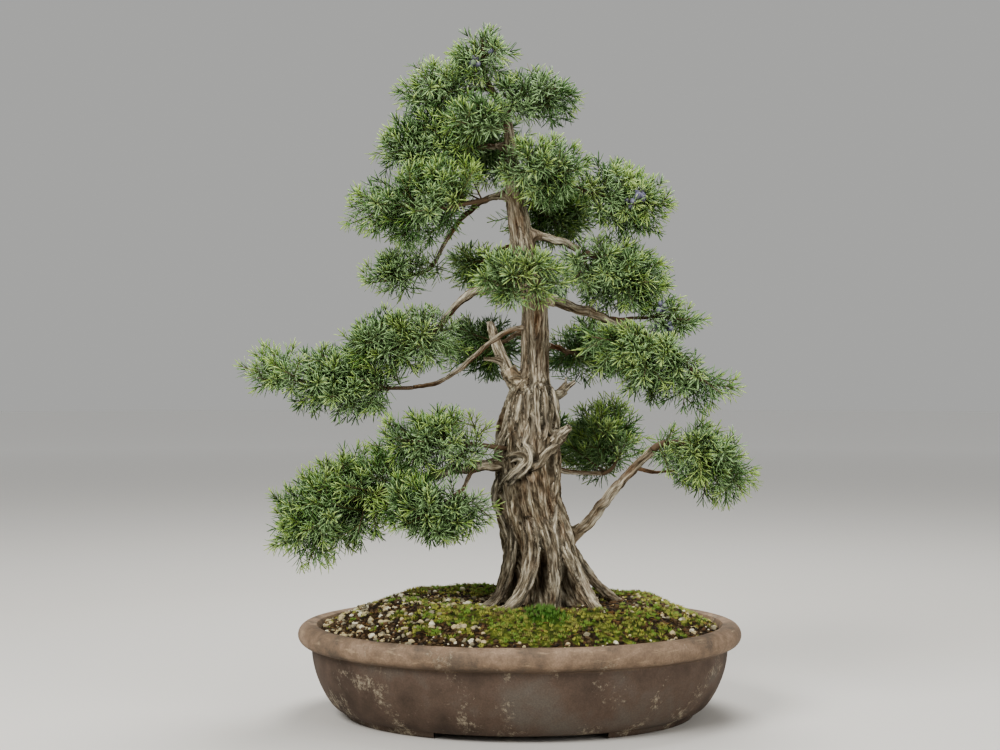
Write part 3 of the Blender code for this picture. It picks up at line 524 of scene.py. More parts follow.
def makeGround(finish):
    form = groundForm
    deselectAll()
    bpy.ops.mesh.primitive_grid_add(x_subdivisions=form["cells"], y_subdivisions=form["cells"], size=2)
    ground = bpy.context.object
    ground.name = ground.data.name = "mossyGround"
    # the square grid becomes the pot's oval
    square = placesOf(ground)
    x = square[:, 0] * np.sqrt(1 - square[:, 1] ** 2 / 2) * form["half"]
    y = square[:, 1] * np.sqrt(1 - square[:, 0] ** 2 / 2) * form["half"] * form["oval"]
    setPlaces(ground, np.column_stack((x, y, groundHeight(x, y))))
    storeValues(ground, "mossy", mossAmount(x, y))
    storeValues(ground, "tufted", tuftAmount(x, y))
    # the rim of the sheet is drawn down inside the pot and closed
    pick(ground)
    bpy.ops.object.mode_set(mode="EDIT")
    bpy.ops.mesh.select_mode(type="EDGE")
    bpy.ops.mesh.select_all(action="DESELECT")
    bpy.ops.mesh.select_non_manifold()
    bpy.ops.mesh.extrude_region_move(TRANSFORM_OT_translate={"value": (0, 0, -form["skirt"])})
    share = form["skirtShare"]
    bpy.ops.transform.resize(value=(share, share, 1), center_override=(0, 0, 0))
    bpy.ops.transform.resize(value=(1, 1, 0), center_override=(0, 0, form["floor"]))
    bpy.ops.mesh.edge_face_add()
    smoothOver(ground)
    dress(ground, finish)
    finishPiece(ground, "soil_and_moss", "soil_mound")


def repeated(shape, count, corners):
    # the triangles of a small shape, once for each of its copies
    return (np.asarray(shape)[None] + (np.arange(count) * corners)[:, None, None]).reshape(-1, 3)


def roundBit(subdivisions=1):
    # the corners and triangles of a small ball of radius 1
    bm = bmesh.new()
    bmesh.ops.create_icosphere(bm, subdivisions=subdivisions, radius=1)
    places = np.array([v.co for v in bm.verts])
    faces = np.array([[v.index for v in face.verts] for face in bm.faces])
    bm.free()
    return places, faces


def scatterBits(name, spots, sizes, squash, seed, subdivisions=1, uneven=0.28):
    # lumps of one ball each, turned and dented differently, as one mesh
    rng = np.random.default_rng(seed)
    ball, faces = roundBit(subdivisions)
    count = len(spots)
    turns = rng.normal(size=(count, 4))
    turns /= np.linalg.norm(turns, axis=1)[:, None]
    w, a, b, c = turns.T
    matrices = np.stack([
        np.stack([1 - 2 * (b * b + c * c), 2 * (a * b - c * w), 2 * (a * c + b * w)], 1),
        np.stack([2 * (a * b + c * w), 1 - 2 * (a * a + c * c), 2 * (b * c - a * w)], 1),
        np.stack([2 * (a * c - b * w), 2 * (b * c + a * w), 1 - 2 * (a * a + b * b)], 1),
    ], 1)
    stretch = rng.uniform(1 - uneven, 1 + uneven, (count, 1, 3))
    dents = 1 + rng.uniform(-uneven, uneven, (count, len(ball), 1)) * 0.5
    shaped = np.einsum("nij,nkj->nki", matrices, ball[None] * stretch * dents)
    shaped[:, :, 2] *= squash
    places = spots[:, None, :] + shaped * sizes[:, None, None]
    return meshFrom(name, places.reshape(-1, 3), repeated(faces, count, len(ball))), len(faces)


def dealFinishes(obj, facesEach, choices):
    # gives each repeated bit one of the object's material slots
    obj.data.polygons.foreach_set("material_index", np.repeat(choices, facesEach).astype(np.int32))
    obj.data.update()


def groundSpots(rng, count, keep):
    # random places on the ground, kept where the rule says so
    form = groundForm
    spots = np.empty((0, 3))
    while len(spots) < count:
        x = rng.uniform(-1, 1, count * 4) * form["half"] * form["inset"]
        y = rng.uniform(-1, 1, count * 4) * form["half"] * form["oval"] * form["inset"]
        good = (groundShare(x, y) < form["inset"]) & (rng.uniform(size=len(x)) < keep(x, y))
        x, y = x[good], y[good]
        spots = np.vstack((spots, np.column_stack((x, y, groundHeight(x, y)))))
    return spots[:count]


def gritAmount(x, y):
    # pumice shows most on the left, thinly along the front rim and on the right
    left = smoothStep(-x, -4 * mm, 100 * mm) * smoothStep(-y, -100 * mm, -20 * mm)
    rim = smoothStep(groundShare(x, y), 0.86, 0.97) * smoothStep(-y, -60 * mm, 30 * mm)
    right = smoothStep(x, 60 * mm, 130 * mm) * 0.3
    clumps = smoothStep(groundNoise(x, y, (1, 15, 21)), -0.3, 0.5)
    return np.clip((0.06 + left + 0.4 * rim + right) * (0.25 + 0.75 * clumps) * (1.15 - mossAmount(x, y)), 0, 1)


# What lies on the ground: pumice, a light volcanic grit, matt and pitted; dull brown crumbs of baked clay and
# bark; living moss with fine leafy tips; and dropped needles, dry and straw brown
looseLook = dict(
    pumice=(("creamPumice", "#b3a580"), ("greyPumice", "#878069"), ("whitePumice", "#cfc8b0")),
    pumiceShares=(0.45, 0.35, 0.2), pumiceRough=0.9, pumiceUneven=0.36, pumiceSmooth=32, pumiceSmall=2.2,
    crumb=(("claySoil", "#54442e"), ("darkSoil", "#2a2116"), ("redSoil", "#5b432b")),
    crumbShares=(0.4, 0.4, 0.2), crumbRough=0.95, squash=0.8,
    # olive and yellow-green in the light, and deep green in the front tuft
    moss=(("oliveMoss", "#898b48"), ("goldenMoss", "#a5a552"), ("greenMoss", "#75923f"),
          ("tuftMoss", "#56762f"), ("brownMoss", "#665634")),
    mossRough=0.85, brownShare=0.18, litter="#8a6a35", litterRough=0.8,
)


def makeGrit():
    form, look = groundForm, looseLook
    rng = np.random.default_rng(form["seed"])
    spots = groundSpots(rng, form["pebbles"], gritAmount)
    small, large = form["pebbleSize"]
    sizes = (rng.uniform(0, 1, len(spots)) ** look["pumiceSmall"] * (large - small) + small) / 1.2
    spots[:, 2] += sizes * 0.15
    grit, each = scatterBits("pumiceGrit", spots, sizes, look["squash"], 7, 2, look["pumiceUneven"])
    dress(grit, *newFinishes(look["pumice"], look["pumiceRough"]))
    dealFinishes(grit, each, rng.choice(3, len(spots), p=look["pumiceShares"]))
    smoothOver(grit, look["pumiceSmooth"])
    finishPiece(grit, "soil_and_moss", "soil_mound")
    spots = groundSpots(rng, form["crumbs"], lambda x, y: 1.05 - mossAmount(x, y))
    sizes = rng.uniform(*form["crumbSize"], len(spots)) / 1.1
    crumbs, each = scatterBits("soilCrumbs", spots, sizes, look["squash"], 8)
    dress(crumbs, *newFinishes(look["crumb"], look["crumbRough"]))
    dealFinishes(crumbs, each, rng.choice(3, len(spots), p=look["crumbShares"]))
    finishPiece(crumbs, "soil_and_moss", "soil_mound")


def spikes(name, feet, tips, widths, seed):
    # slim closed three-sided spikes from each foot to its tip, as one mesh
    rng = np.random.default_rng(seed)
    along = tips - feet
    side = np.cross(along, rng.normal(size=along.shape))
    side /= np.linalg.norm(side, axis=1)[:, None]
    up = np.cross(along, side)
    up /= np.linalg.norm(up, axis=1)[:, None]
    corners = []
    for k in range(3):
        angle = 2 * math.pi * k / 3
        corners.append(feet + (side * math.cos(angle) + up * math.sin(angle)) * widths[:, None] / 2)
    places = np.stack(corners + [tips], 1).reshape(-1, 3)
    return meshFrom(name, places, repeated(((0, 1, 3), (1, 2, 3), (2, 0, 3), (0, 2, 1)), len(feet), 4))


def makeMoss():
    # small star-shaped tufts, each with its blades leaning outwards
    def grows(x, y):
        return mossAmount(x, y) ** 1.3 * mossClumps(x, y) + 0.03 + tuftAmount(x, y)

    form, look = groundForm, looseLook
    rng = np.random.default_rng(form["seed"] + 1)
    middles = groundSpots(rng, form["tufts"], grows)
    each = form["tuftBlades"]
    x, y = middles[:, 0], middles[:, 1]
    bright = np.clip(tuftAmount(x, y) * 1.4, 0, 1)
    wide = rng.uniform(*form["tuftSize"], len(middles))
    turn = rng.uniform(0, 2 * math.pi, (len(middles), each))
    lean = rng.uniform(0.1, 1, (len(middles), each)) * wide[:, None]
    outward = np.stack((np.cos(turn) * lean, np.sin(turn) * lean, np.zeros_like(lean)), 2)
    height = rng.uniform(*form["bladeHeight"], (len(middles), each)) * (1 + 0.7 * bright[:, None])
    feet = middles[:, None] + outward * 0.45 - np.array((0, 0, 0.7 * mm))
    tips = middles[:, None] + outward + np.stack((height * 0, height * 0, height), 2)
    moss = spikes("mossBlades", feet.reshape(-1, 3), tips.reshape(-1, 3),
                  rng.uniform(0.7, 1.3, len(middles) * each) * form["bladeWidth"], 9)
    dress(moss, *newFinishes(look["moss"], look["mossRough"]))
    patch = groundNoise(x, y, (1, 20, 31)) + rng.normal(size=len(x)) * 0.3
    patch -= 0.6 * smoothStep(y, 30 * mm, 90 * mm)
    choice = np.where(patch > 0.3, 1, np.where(patch < -0.22, 2, 0))
    choice = np.where(rng.uniform(size=len(x)) < look["brownShare"], 4, choice)
    choice = np.where(rng.uniform(size=len(x)) < bright, 3, choice)
    dealFinishes(moss, 4, np.repeat(choice, each))
    finishPiece(moss, "soil_and_moss", "soil_mound")
    spots = groundSpots(rng, form["litter"], lambda x, y: np.full_like(x, 0.5))
    turn = rng.uniform(0, 2 * math.pi, len(spots))
    lay = np.column_stack((np.cos(turn), np.sin(turn), rng.uniform(-0.05, 0.25, len(spots))))
    feet = spots + np.array((0, 0, 0.8 * mm))
    litter = spikes("droppedNeedles", feet, feet + lay * form["litterLength"],
                    np.full(len(spots), form["litterWidth"]), 10)
    dress(litter, newFinish("dryNeedle", look["litter"], look["litterRough"])[0])
    finishPiece(litter, "soil_and_moss", "soil_mound")


# The tree's own plan, as in the part's source: sizes in millimetres here, and metres after vector()
trunkForm = dict(
    # height above the table, centre (right, back) and radius at each level
    levels=((114, 28, 0, 35), (135, 25, 0, 34.5), (175, 20, 0, 34), (215, 10, 1, 32), (255, 9, 2, 31),
            (295, 10, 3, 29.5), (318, 12, 3, 25), (336, 15, 4, 15.5), (375, 15, 4, 13.8), (415, 14, 2, 12.6),
            (475, 2, 0, 12), (525, -6, 0, 9.5), (575, -10, 0, 6), (600, -15, -2, 4.8), (628, -31, -3, 3.5),
            (650, -37, -4, 2.2)),
    # flutes: how many round the trunk, their depth, start and turn with height
    ground=114 * mm, flutes=((2, 0.07, 0.4, 3), (5, 0.05, 1.9, 9), (7, 0.035, 0.7, -12)),
)
stubForm = {
    "deadwood_fork_left": dict(at=308, tip=(-30, -6, 391), bow=(-4, 0, -3), radius=(9.5, 4)),
    "deadwood_spur_left": dict(parent="deadwood_fork_left", at=0.5, tip=(-36, -14, 353), bow=(0, 0, 2),
                               radius=(3.4, 2.6)),
    "deadwood_stub_front": dict(at=258, tip=(49, -28, 286), bow=(0, 0, -3), radius=(9, 4.6)),
    "deadwood_stub_right": dict(at=304, tip=(56, 2, 331), bow=(0, 0, -3), radius=(6, 2.6)),
}
boughForm = {
    "bough_low_right": dict(at=160, tip=(132, -18, 263), bow=(3, 0, -7), sway=(2, 0, -3), radius=(7.4, 4.2)),
    "bough_right_middle": dict(at=417, tip=(128, -30, 373), bow=(0, 0, 3), radius=(6.4, 4)),
    "bough_right_upper": dict(at=479, tip=(62, -4, 461), bow=(0, 0, 3), radius=(5.2, 3.6)),
    "bough_left_middle": dict(at=424, tip=(-78, -24, 386), bow=(0, -4, 18), sway=(0, 0, -5), radius=(6.2, 3.4)),
    "bough_left_slender": dict(at=386, tip=(-105, -22, 325), bow=(0, -17, 0), sway=(0, 0, 8), radius=(3.2, 2.2)),
    "bough_low_left": dict(at=250, tip=(-112, -34, 231), bow=(0, 0, 5), radius=(7, 4)),
    "bough_left_hanging": dict(at=522, tip=(-83, 10, 454), bow=(-6, 6, 14), radius=(3.8, 2.3)),
    "bough_upper_left": dict(at=562, tip=(-50, 5, 563), bow=(0, 0, 4), radius=(3.4, 2.3)),
    "bough_left_upper": dict(at=514, tip=(-32, -17, 511), bow=(0, 0, 2), radius=(4, 3)),
    "bough_upper_right": dict(at=528, tip=(56, 2, 524), bow=(0, 8, 3), radius=(4.2, 2.8)),
    "bough_front": dict(at=432, tip=(8, -37, 432), bow=(0, 0, 2), radius=(4.2, 3)),
    "bough_back_left_upper": dict(at=466, tip=(-24, 33, 462), bow=(0, 0, 2), radius=(3.2, 2.3)),
    "bough_back_left_middle": dict(at=384, tip=(-12, 46, 373), bow=(0, 0, 2), radius=(3.6, 2.6)),
    "bough_back_right_middle": dict(at=368, tip=(46, 44, 362), bow=(0, 0, 2), radius=(3.8, 2.7)),
    "bough_back_right_low": dict(at=252, tip=(84, 44, 236), bow=(0, 0, -4), radius=(3.6, 2.4)),
    "bough_back_upper": dict(at=508, tip=(6, 31, 513), bow=(0, 0, 1), radius=(3.6, 2.6)),
    "bough_back_middle": dict(at=438, tip=(6, 70, 440), bow=(0, 0, 4), radius=(4.8, 3)),
    "bough_back_low": dict(at=262, tip=(24, 84, 262), bow=(0, 0, 4), radius=(5.4, 3.4)),
    "branch_low_right": dict(parent="bough_low_right", at=0.84, tip=(153, -24, 243), bow=(0, 0, -3),
                             radius=(2.4, 1.7)),
    "branch_right_berry": dict(parent="bough_right_middle", at=0.6, tip=(112, -24, 393), bow=(0, 0, -1),
                               radius=(2.4, 1.7)),
    "branch_low_left_front": dict(parent="bough_low_left", at=0.42, tip=(-54, -36, 229), bow=(0, -2, 2),
                                  radius=(3, 2.2)),
}
limbForm = {**stubForm, **boughForm}
limbPoints = 6


def vector(numbers):
    return Vector(numbers) * mm


def smoothBetween(values, share):
    a, b, c, d = values
    return 0.5 * (2 * b + (c - a) * share + (2 * a - 5 * b + 4 * c - d) * share ** 2
                  + (3 * b - a - 3 * c + d) * share ** 3)


def trunkAt(height):
    # the trunk's middle and radius at a height above the table
    levels = trunkForm["levels"]
    height = min(max(height / mm, levels[0][0]), levels[-1][0])
    i = 0
    while i < len(levels) - 2 and levels[i + 1][0] < height:
        i += 1
    share = (height - levels[i][0]) / (levels[i + 1][0] - levels[i][0])
    near = [levels[min(max(j, 0), len(levels) - 1)] for j in range(i - 1, i + 3)]
    x, y, radius = (smoothBetween([level[k] for level in near], share) for k in (1, 2, 3))
    return Vector((x * mm, y * mm, height * mm)), max(radius, 1) * mm


def outward(angle):
    return Vector((math.cos(angle), math.sin(angle), 0))


def flutedRadius(angle, height, radius):
    swell = 1
    for count, depth, start, turn in trunkForm["flutes"]:
        swell += depth * math.cos(count * angle + start + turn * height)
    return radius * swell


def limbPath(start, tip, bow, sway, count=limbPoints):
    points = []
    for i in range(count):
        t = i / (count - 1)
        points.append(start.lerp(tip, t) + bow * math.sin(math.pi * t) + sway * math.sin(2 * math.pi * t))
    return points


def limbRoute(spec, paths):
    if "parent" in spec:
        path = paths[spec["parent"]]
        place = spec["at"] * (len(path) - 1)
        start = path[int(place)].lerp(path[int(place) + 1], place % 1)
    else:
        start = trunkAt(spec["at"] * mm)[0]
    return limbPath(start, vector(spec["tip"]), vector(spec["bow"]), vector(spec.get("sway", (0, 0, 0))))


def limbRoutes():
    paths = {}
    for name, spec in limbForm.items():
        paths[name] = limbRoute(spec, paths)
    return paths


def refine(points, step):
    # a smooth curve through the points, as an array with a place every step
    points = np.array([tuple(p) for p in points])
    padded = np.vstack((2 * points[0] - points[1], points, 2 * points[-1] - points[-2]))
    fine = []
    for i in range(len(points) - 1):
        count = max(1, round(float(np.linalg.norm(points[i + 1] - points[i])) / step))
        for k in range(count):
            fine.append(smoothBetween(padded[i:i + 4], k / count))
    fine.append(points[-1])
    return np.array(fine)


def framesAlong(path):
    # directions along a path, and two more square to it that turn as little as they can
    along = np.gradient(path, axis=0)
    along /= np.linalg.norm(along, axis=1)[:, None]
    side = np.cross(along[0], (0.3, 0.2, 1.0))
    sides = []
    for direction in along:
        side = side - direction * np.dot(side, direction)
        side = side / np.linalg.norm(side)
        sides.append(side)
    sides = np.array(sides)
    return along, sides, np.cross(along, sides)


def tubeFaces(rings, sides):
    # the triangles of a closed tube, whose corners come ring by ring and then in the middle of its two ends
    k = np.arange(sides)
    after = (k + 1) % sides
    faces = []
    for i in range(rings - 1):
        low, high = i * sides, (i + 1) * sides
        faces.append(np.column_stack((low + k, low + after, high + after)))
        faces.append(np.column_stack((low + k, high + after, high + k)))
    first, top = rings * sides, (rings - 1) * sides
    faces.append(np.column_stack((np.full(sides, first), after, k)))
    faces.append(np.column_stack((np.full(sides, first + 1), top + k, top + after)))
    return np.vstack(faces)


def tubeArrays(path, radii, sides):
    # the corners and triangles of a closed tube round a path
    path = np.asarray(path)
    side, up = framesAlong(path)[1:]
    angles = 2 * math.pi * np.arange(sides) / sides
    round_ = side[:, None] * np.cos(angles)[None, :, None] + up[:, None] * np.sin(angles)[None, :, None]
    rings = path[:, None] + round_ * np.asarray(radii)[:, None, None]
    return np.vstack((rings.reshape(-1, 3), path[0], path[-1])), tubeFaces(len(path), sides)


def runAlong(path):
    # how far along a path each of its places lies
    return np.concatenate(([0], np.cumsum(np.linalg.norm(np.diff(path, axis=0), axis=1))))


def spread(values, count):
    # a few values spread evenly over more places
    return np.interp(np.linspace(0, 1, count), np.linspace(0, 1, len(values)), values)


def joinArrays(parts):
    # one pair of arrays from several
    places, faces, start = [], [], 0
    for partPlaces, partFaces in parts:
        places.append(partPlaces)
        faces.append(partFaces + start)
        start += len(partPlaces)
    return np.vstack(places), np.vstack(faces)


# Bark of an old juniper: fibrous plates and small flakes with dark gaps, grey on the ridges and browner where
# it has peeled, as up the leader. Bare deadwood among it is silver and finely cracked. The raised plates are
# painted paler and the gaps darker: partly the bark's own colour, partly painted highlight and painted shade.
# The fibres are drawn about twice as wide as real ones, so that they show
barkLook = dict(
    base="#8b806b", roughness=0.88, specular=0.2, warm="#86664c", furrow="#30271b", lichen="#a9ad95",
    bark=((0.39, "#30271b"), (0.45, "#605544"), (0.52, "#8b806b"), (0.61, "#c4bba6")),
    bare=((0.38, "#605544"), (0.45, "#978c77"), (0.56, "#d8d0bd")),
    # fibres, flakes and strips: size across and along them in millimetres, and the detail of their noise
    grains=dict(fibre=(1.0, 13), flake=(2.0, 10), strip=(4.2, 44)), grainDetail=(3.5, 0.62),
    # noises and ranges as in the stoneware's look
    blotch=(24, 4, 0.6), crust=(6, 7, 0.7), warmth=(0.46, 0.64, 0, 0.4), tone=(0.33, 0.67, 0.5, 1.42),
    crusted=(0.62, 0.7, 0, 0.6), warmTint=0.8, stripHeight=0.55, flakeHeight=0.45, fibreHeight=0.4,
    bump=(1.0, 2.2 * mm),
)


def makeBark(name):
    look = barkLook
    finish, tree, shader = newFinish(name, look["base"], look["roughness"], look["specular"])
    grain = addNode(tree, "Attribute", "Vector", attribute_name="grain")
    hollow, silver, warm = (addNode(tree, "Attribute", "Fac", attribute_name=part)
                            for part in ("hollow", "silver", "warm"))
    place = addNode(tree, "TexCoord", "Object")
    noises = {}
    for part, (across, along) in look["grains"].items():
        space = addNode(tree, "Mapping", "Vector", {"Vector": grain, "Scale": (1, 1, across / along)})
        noises[part] = addNoise(tree, space, across, *look["grainDetail"])
    height = addMath(tree, "MULTIPLY", noises["strip"], look["stripHeight"])
    height = addMath(tree, "MULTIPLY_ADD", noises["flake"], look["flakeHeight"], height)
    # raised plates are painted paler and the gaps between them darker, as is the bare wood's raised grain below:
    # partly the bark's own colour, partly painted highlight and painted shade
    bark = addRamp(tree, height, look["bark"])
    blotch = addRange(tree, addNoise(tree, place, *look["blotch"]), *look["warmth"])
    warmTone = addMix(tree, look["warmTint"], look["warm"], bark, "SOFT_LIGHT")
    warmed = addMix(tree, addMath(tree, "ADD", blotch, warm, clamp=True), bark, warmTone)
    mixed = addMix(tree, silver, warmed, addRamp(tree, height, look["bare"]))
    toned = addMix(tree, 1, mixed, addRange(tree, noises["fibre"], *look["tone"]), "MULTIPLY")
    # lichen: small pale grey-green crusts
    crust = addRange(tree, addNoise(tree, place, *look["crust"]), *look["crusted"])
    # furrows and clefts are painted dark by how deep they are: partly the bark's own dark fissures, partly painted
    # shade
    dark = addMix(tree, hollow, addMix(tree, crust, toned, look["lichen"]), look["furrow"])
    tree.links.new(dark, shader.inputs["Base Color"])
    relief = addMath(tree, "MULTIPLY_ADD", noises["fibre"], look["fibreHeight"], height)
    addBump(tree, shader, relief, *look["bump"])
    return finish


def storeBark(obj, grain, hollow, silver, warm):
    # what the bark's material reads: its own space, and how deep in a furrow, bare and brown each place is
    for name, values in (("grain", grain), ("hollow", hollow), ("silver", silver), ("warm", warm)):
        storeValues(obj, name, values)


def stretched(grain, across, along):
    # grain space with cells this many millimetres across and along the fibres
    return grain / np.array((across * mm, across * mm, along * mm))


barkForm = dict(
    # furrows: size across and along the fibres, sharpness, seed, depth and how dark they are painted, partly their
    # own colour and partly painted shade
    furrows=((9.5, 66, 0.12, 41, 2.0, 0.55), (4.4, 27, 0.18, 42, 1.2, 0.36), (2.4, 12, 0.24, 43, 0.75, 0.2)),
    # plates and flakes: size across and along, seed and rise. All in millimetres
    plates=((15, 50, 44, 0.7), (2.8, 8, 45, 0.5)), darkFrom=0.12, darkest=0.78,
)


def barkRelief(grain, strength):
    # how far the bark stands out, in metres, and how deep in a furrow each place is
    out, hollow = np.zeros(len(grain)), np.zeros(len(grain))
    for across, along, sharp, seed, depth, dark in barkForm["furrows"]:
        line = crease(stretched(grain, across, along), sharp, seed)
        out -= depth * line
        # the furrows are painted darker where they cut in: partly the bark's own colour, partly painted shade
        hollow += dark * line
    for across, along, seed, rise in barkForm["plates"]:
        out += rise * softNoise(stretched(grain, across, along), seed)
    return out * mm * strength, np.clip(hollow - barkForm["darkFrom"], 0, barkForm["darkest"])


# The trunk's surface: a core, strips of wood that run up it, claw roots, and the dead wood of its front.
# Front features are places (right, up) in millimetres as the camera sees them, laid on the trunk's surface
trunkLook = dict(
    seed=12, voxel=1.24 * mm, cutHeight=107 * mm,
    # strips of wood: sizes in millimetres, turn in radians a metre, and how silver a share of them is
    strips=34, stripRadius=(2.6, 5.0), stripProud=0.55, stripLow=(112, 220), stripTop=332,
    stripLength=(60, 150), stripTurn=(-0.5, 1.0), stripWave=(0.09, 19), stripSilver=0.5, silverShare=0.3,
    stripPoints=12,
    # the core: its heights in millimetres, and the share of the trunk's radius it has, more above the stubs
    coreHeights=(104, 650), coreRings=180, coreSides=72, coreShare=0.925, coreFull=0.97,
    coreFullFrom=330 * mm, coreFlare=11 * mm, coreFlareFade=15 * mm,
    # strands round the leader: heights, and the shares of its radius where they lie and that they are thick,
    # at their ends and more between them
    leaderStrands=7, leaderHeights=(300, 502), leaderPoints=20, leaderEase=(6, 4), leaderReach=(0.58, 0.18),
    leaderThick=(0.1, 0.23),
    # fibres: waves round the trunk (radians, size in millimetres, seed), turn a metre, and run out along roots
    grainWaves=((0.06, 26, 51), (0.02, 9, 52)), grainTurn=1.6, grainWidest=34 * mm, grainOut=0.8,
    # bare wood: its share low down, and how much more above. The leader is browner, with a streak
    bare=(0.12, 0.45), bareFrom=(238 * mm, 285 * mm), barePatch=(12, 60), brownFrom=(315 * mm, 350 * mm),
    brown=0.12, streak=0.2, streakAt=19 * mm, streakHalf=6 * mm, cleftDark=0.75, silverSmooth=0.45,
    # how strong the furrows are, by height in millimetres
    relief=((300, 1), (345, 0.5), (480, 0.35), (650, 0.15)),
    # strands of the front: those that run on into a stub, and how the ends of all thin out into the wood
    joined=("stubFoot", "stubUnder"), fade=0.2, fadeTo=0.4,
    # claw roots: start and end direction in degrees, reach past the trunk, thickness, and starting height
    legs=((180, 188, 27, 6.4, 190), (203, 211, 42, 6.6, 186), (256, 238, 58, 8.4, 196), (289, 275, 27, 7.2, 200),
          (315, 307, 60, 7.0, 196), (328, 332, 26, 4.4, 160), (346, 366, 48, 6.2, 180), (52, 56, 24, 6.8, 185),
          (96, 101, 25, 7.0, 190), (142, 150, 24, 6.6, 188)),
    # the strands of each: degrees to a side, share of its thickness and how silver
    legStrands=((0, 1.0, 0.35), (-7, 0.55, 0.2), (7, 0.6, 0.6)), legPoints=16, legUneven=(0.92, 1.08),
    front=(
        # name, silver, radius at the start and end, how much of it stands proud, places
        ("swirlHook", 1.0, (3.8, 3.4), 0.95,
         ((-25, 217), (-20, 227), (-10, 236), (-1, 244), (6, 251), (5, 256), (-1, 258), (-10, 256), (-16, 253))),
        ("swirlInner", 0.95, (2.6, 2.2), 0.9,
         ((-22, 226), (-18, 234), (-8, 242), (-1, 248), (1, 251), (-3, 253), (-9, 250))),
        ("swirlLip", 0.95, (2.8, 3.6), 0.85,
         ((-17, 223), (-3, 234), (7, 242), (12, 252), (10, 263), (5, 269), (7, 279), (9, 290))),
        ("swirlKnot", 0.9, (3.0, 3.0), 0.9, ((0, 275), (-2, 267), (2, 261))),
        ("leftStripUpper", 0.85, (3.4, 4.8), 0.8,
         ((-11, 313), (-14, 297), (-19, 281), (-23, 272), (-25, 256), (-24, 238))),
        ("leftStripInner", 0.75, (3.4, 3.2), 0.7, ((-5, 283), (-13, 273), (-19, 262), (-20, 248))),
        ("leftEdgeLower", 0.85, (4.2, 2.4), 0.9,
         ((-25, 236), (-28, 220), (-28, 208), (-24, 201), (-19, 192), (-15, 182), (-11, 168))),
        ("leftPlate", 0.55, (3.6, 4.0), 0.5, ((0, 320), (-3, 303), (-6, 288))),
        ("middlePlateLeft", 0.6, (3.8, 3.6), 0.5, ((8, 324), (7, 306), (6, 290))),
        ("middlePlateRight", 0.55, (4.2, 3.8), 0.5, ((17, 328), (18, 308), (19, 290), (21, 274))),
        ("rightPlate", 0.5, (3.6, 3.8), 0.5, ((25, 326), (27, 304), (27, 284), (24, 270))),
        ("rightColumn", 0.75, (4.0, 5.4), 0.55, ((32, 326), (35, 314), (37, 300), (36, 286), (34, 274))),
        ("paleStrip", 1.0, (1.6, 6.0), 0.6,
         ((37, 224), (35, 205), (36, 186), (38, 168), (40, 152), (41, 138), (40, 126))),
        ("stubFoot", 0.3, (4.0, 6.6), 0.8, ((12, 238), (19, 248), (26, 258), (34, 266), (40, 272))),
        ("stubUnder", 0.2, (3.6, 4.6), 0.6, ((33, 214), (34, 230), (36, 246), (38, 260))),
    ),
    # dark clefts, painted dark partly as painted shade: radius, depth and places
    clefts=(
        (3.4, 5.5, ((-3, 229), (8, 235), (16, 244), (18, 253))),
        (2.4, 3.5, ((-21, 210), (-17, 201), (-12, 192))),
        (2.8, 4.5, ((27, 174), (26, 156), (26, 138), (25, 122))),
        (1.8, 1.8, ((12, 314), (12, 300), (13, 284))),
        (1.8, 2.4, ((22, 318), (22, 302), (23, 284))),
        (2.0, 3.5, ((-9, 302), (-11, 287), (-16, 270), (-17, 258))),
        (2.0, 3.6, ((30, 330), (31, 310), (31, 292), (29, 276))),
        (2.2, 2.6, ((-4, 254), (-9, 254))),
        (2.2, 3.2, ((22, 146), (20, 130), (18, 114))),
        (2.4, 3.5, ((46, 144), (49, 128), (53, 114))),
        (2.6, 3.5, ((-11, 144), (-15, 130), (-19, 114))),
    ),
)


def onFront(x, z, lift):
    # the place on the trunk's front surface that the camera sees at x and z, raised by lift
    seen = Vector((x * mm, 0, z * mm))
    depth = 0
    for _ in range(3):
        place = viewPoint.lerp(seen, (depth - viewPoint.y) / -viewPoint.y)
        middle, radius = trunkAt(place.z)
        across = (place.x - middle.x) / radius
        held = min(0.96, max(-0.96, across))
        angle = math.atan2(-math.sqrt(1 - held * held), held)
        reach = flutedRadius(angle, middle.z, radius) + lift
        depth = middle.y + math.sin(angle) * reach
    return Vector((middle.x + math.cos(angle) * reach + (across - held) * radius, depth, place.z))


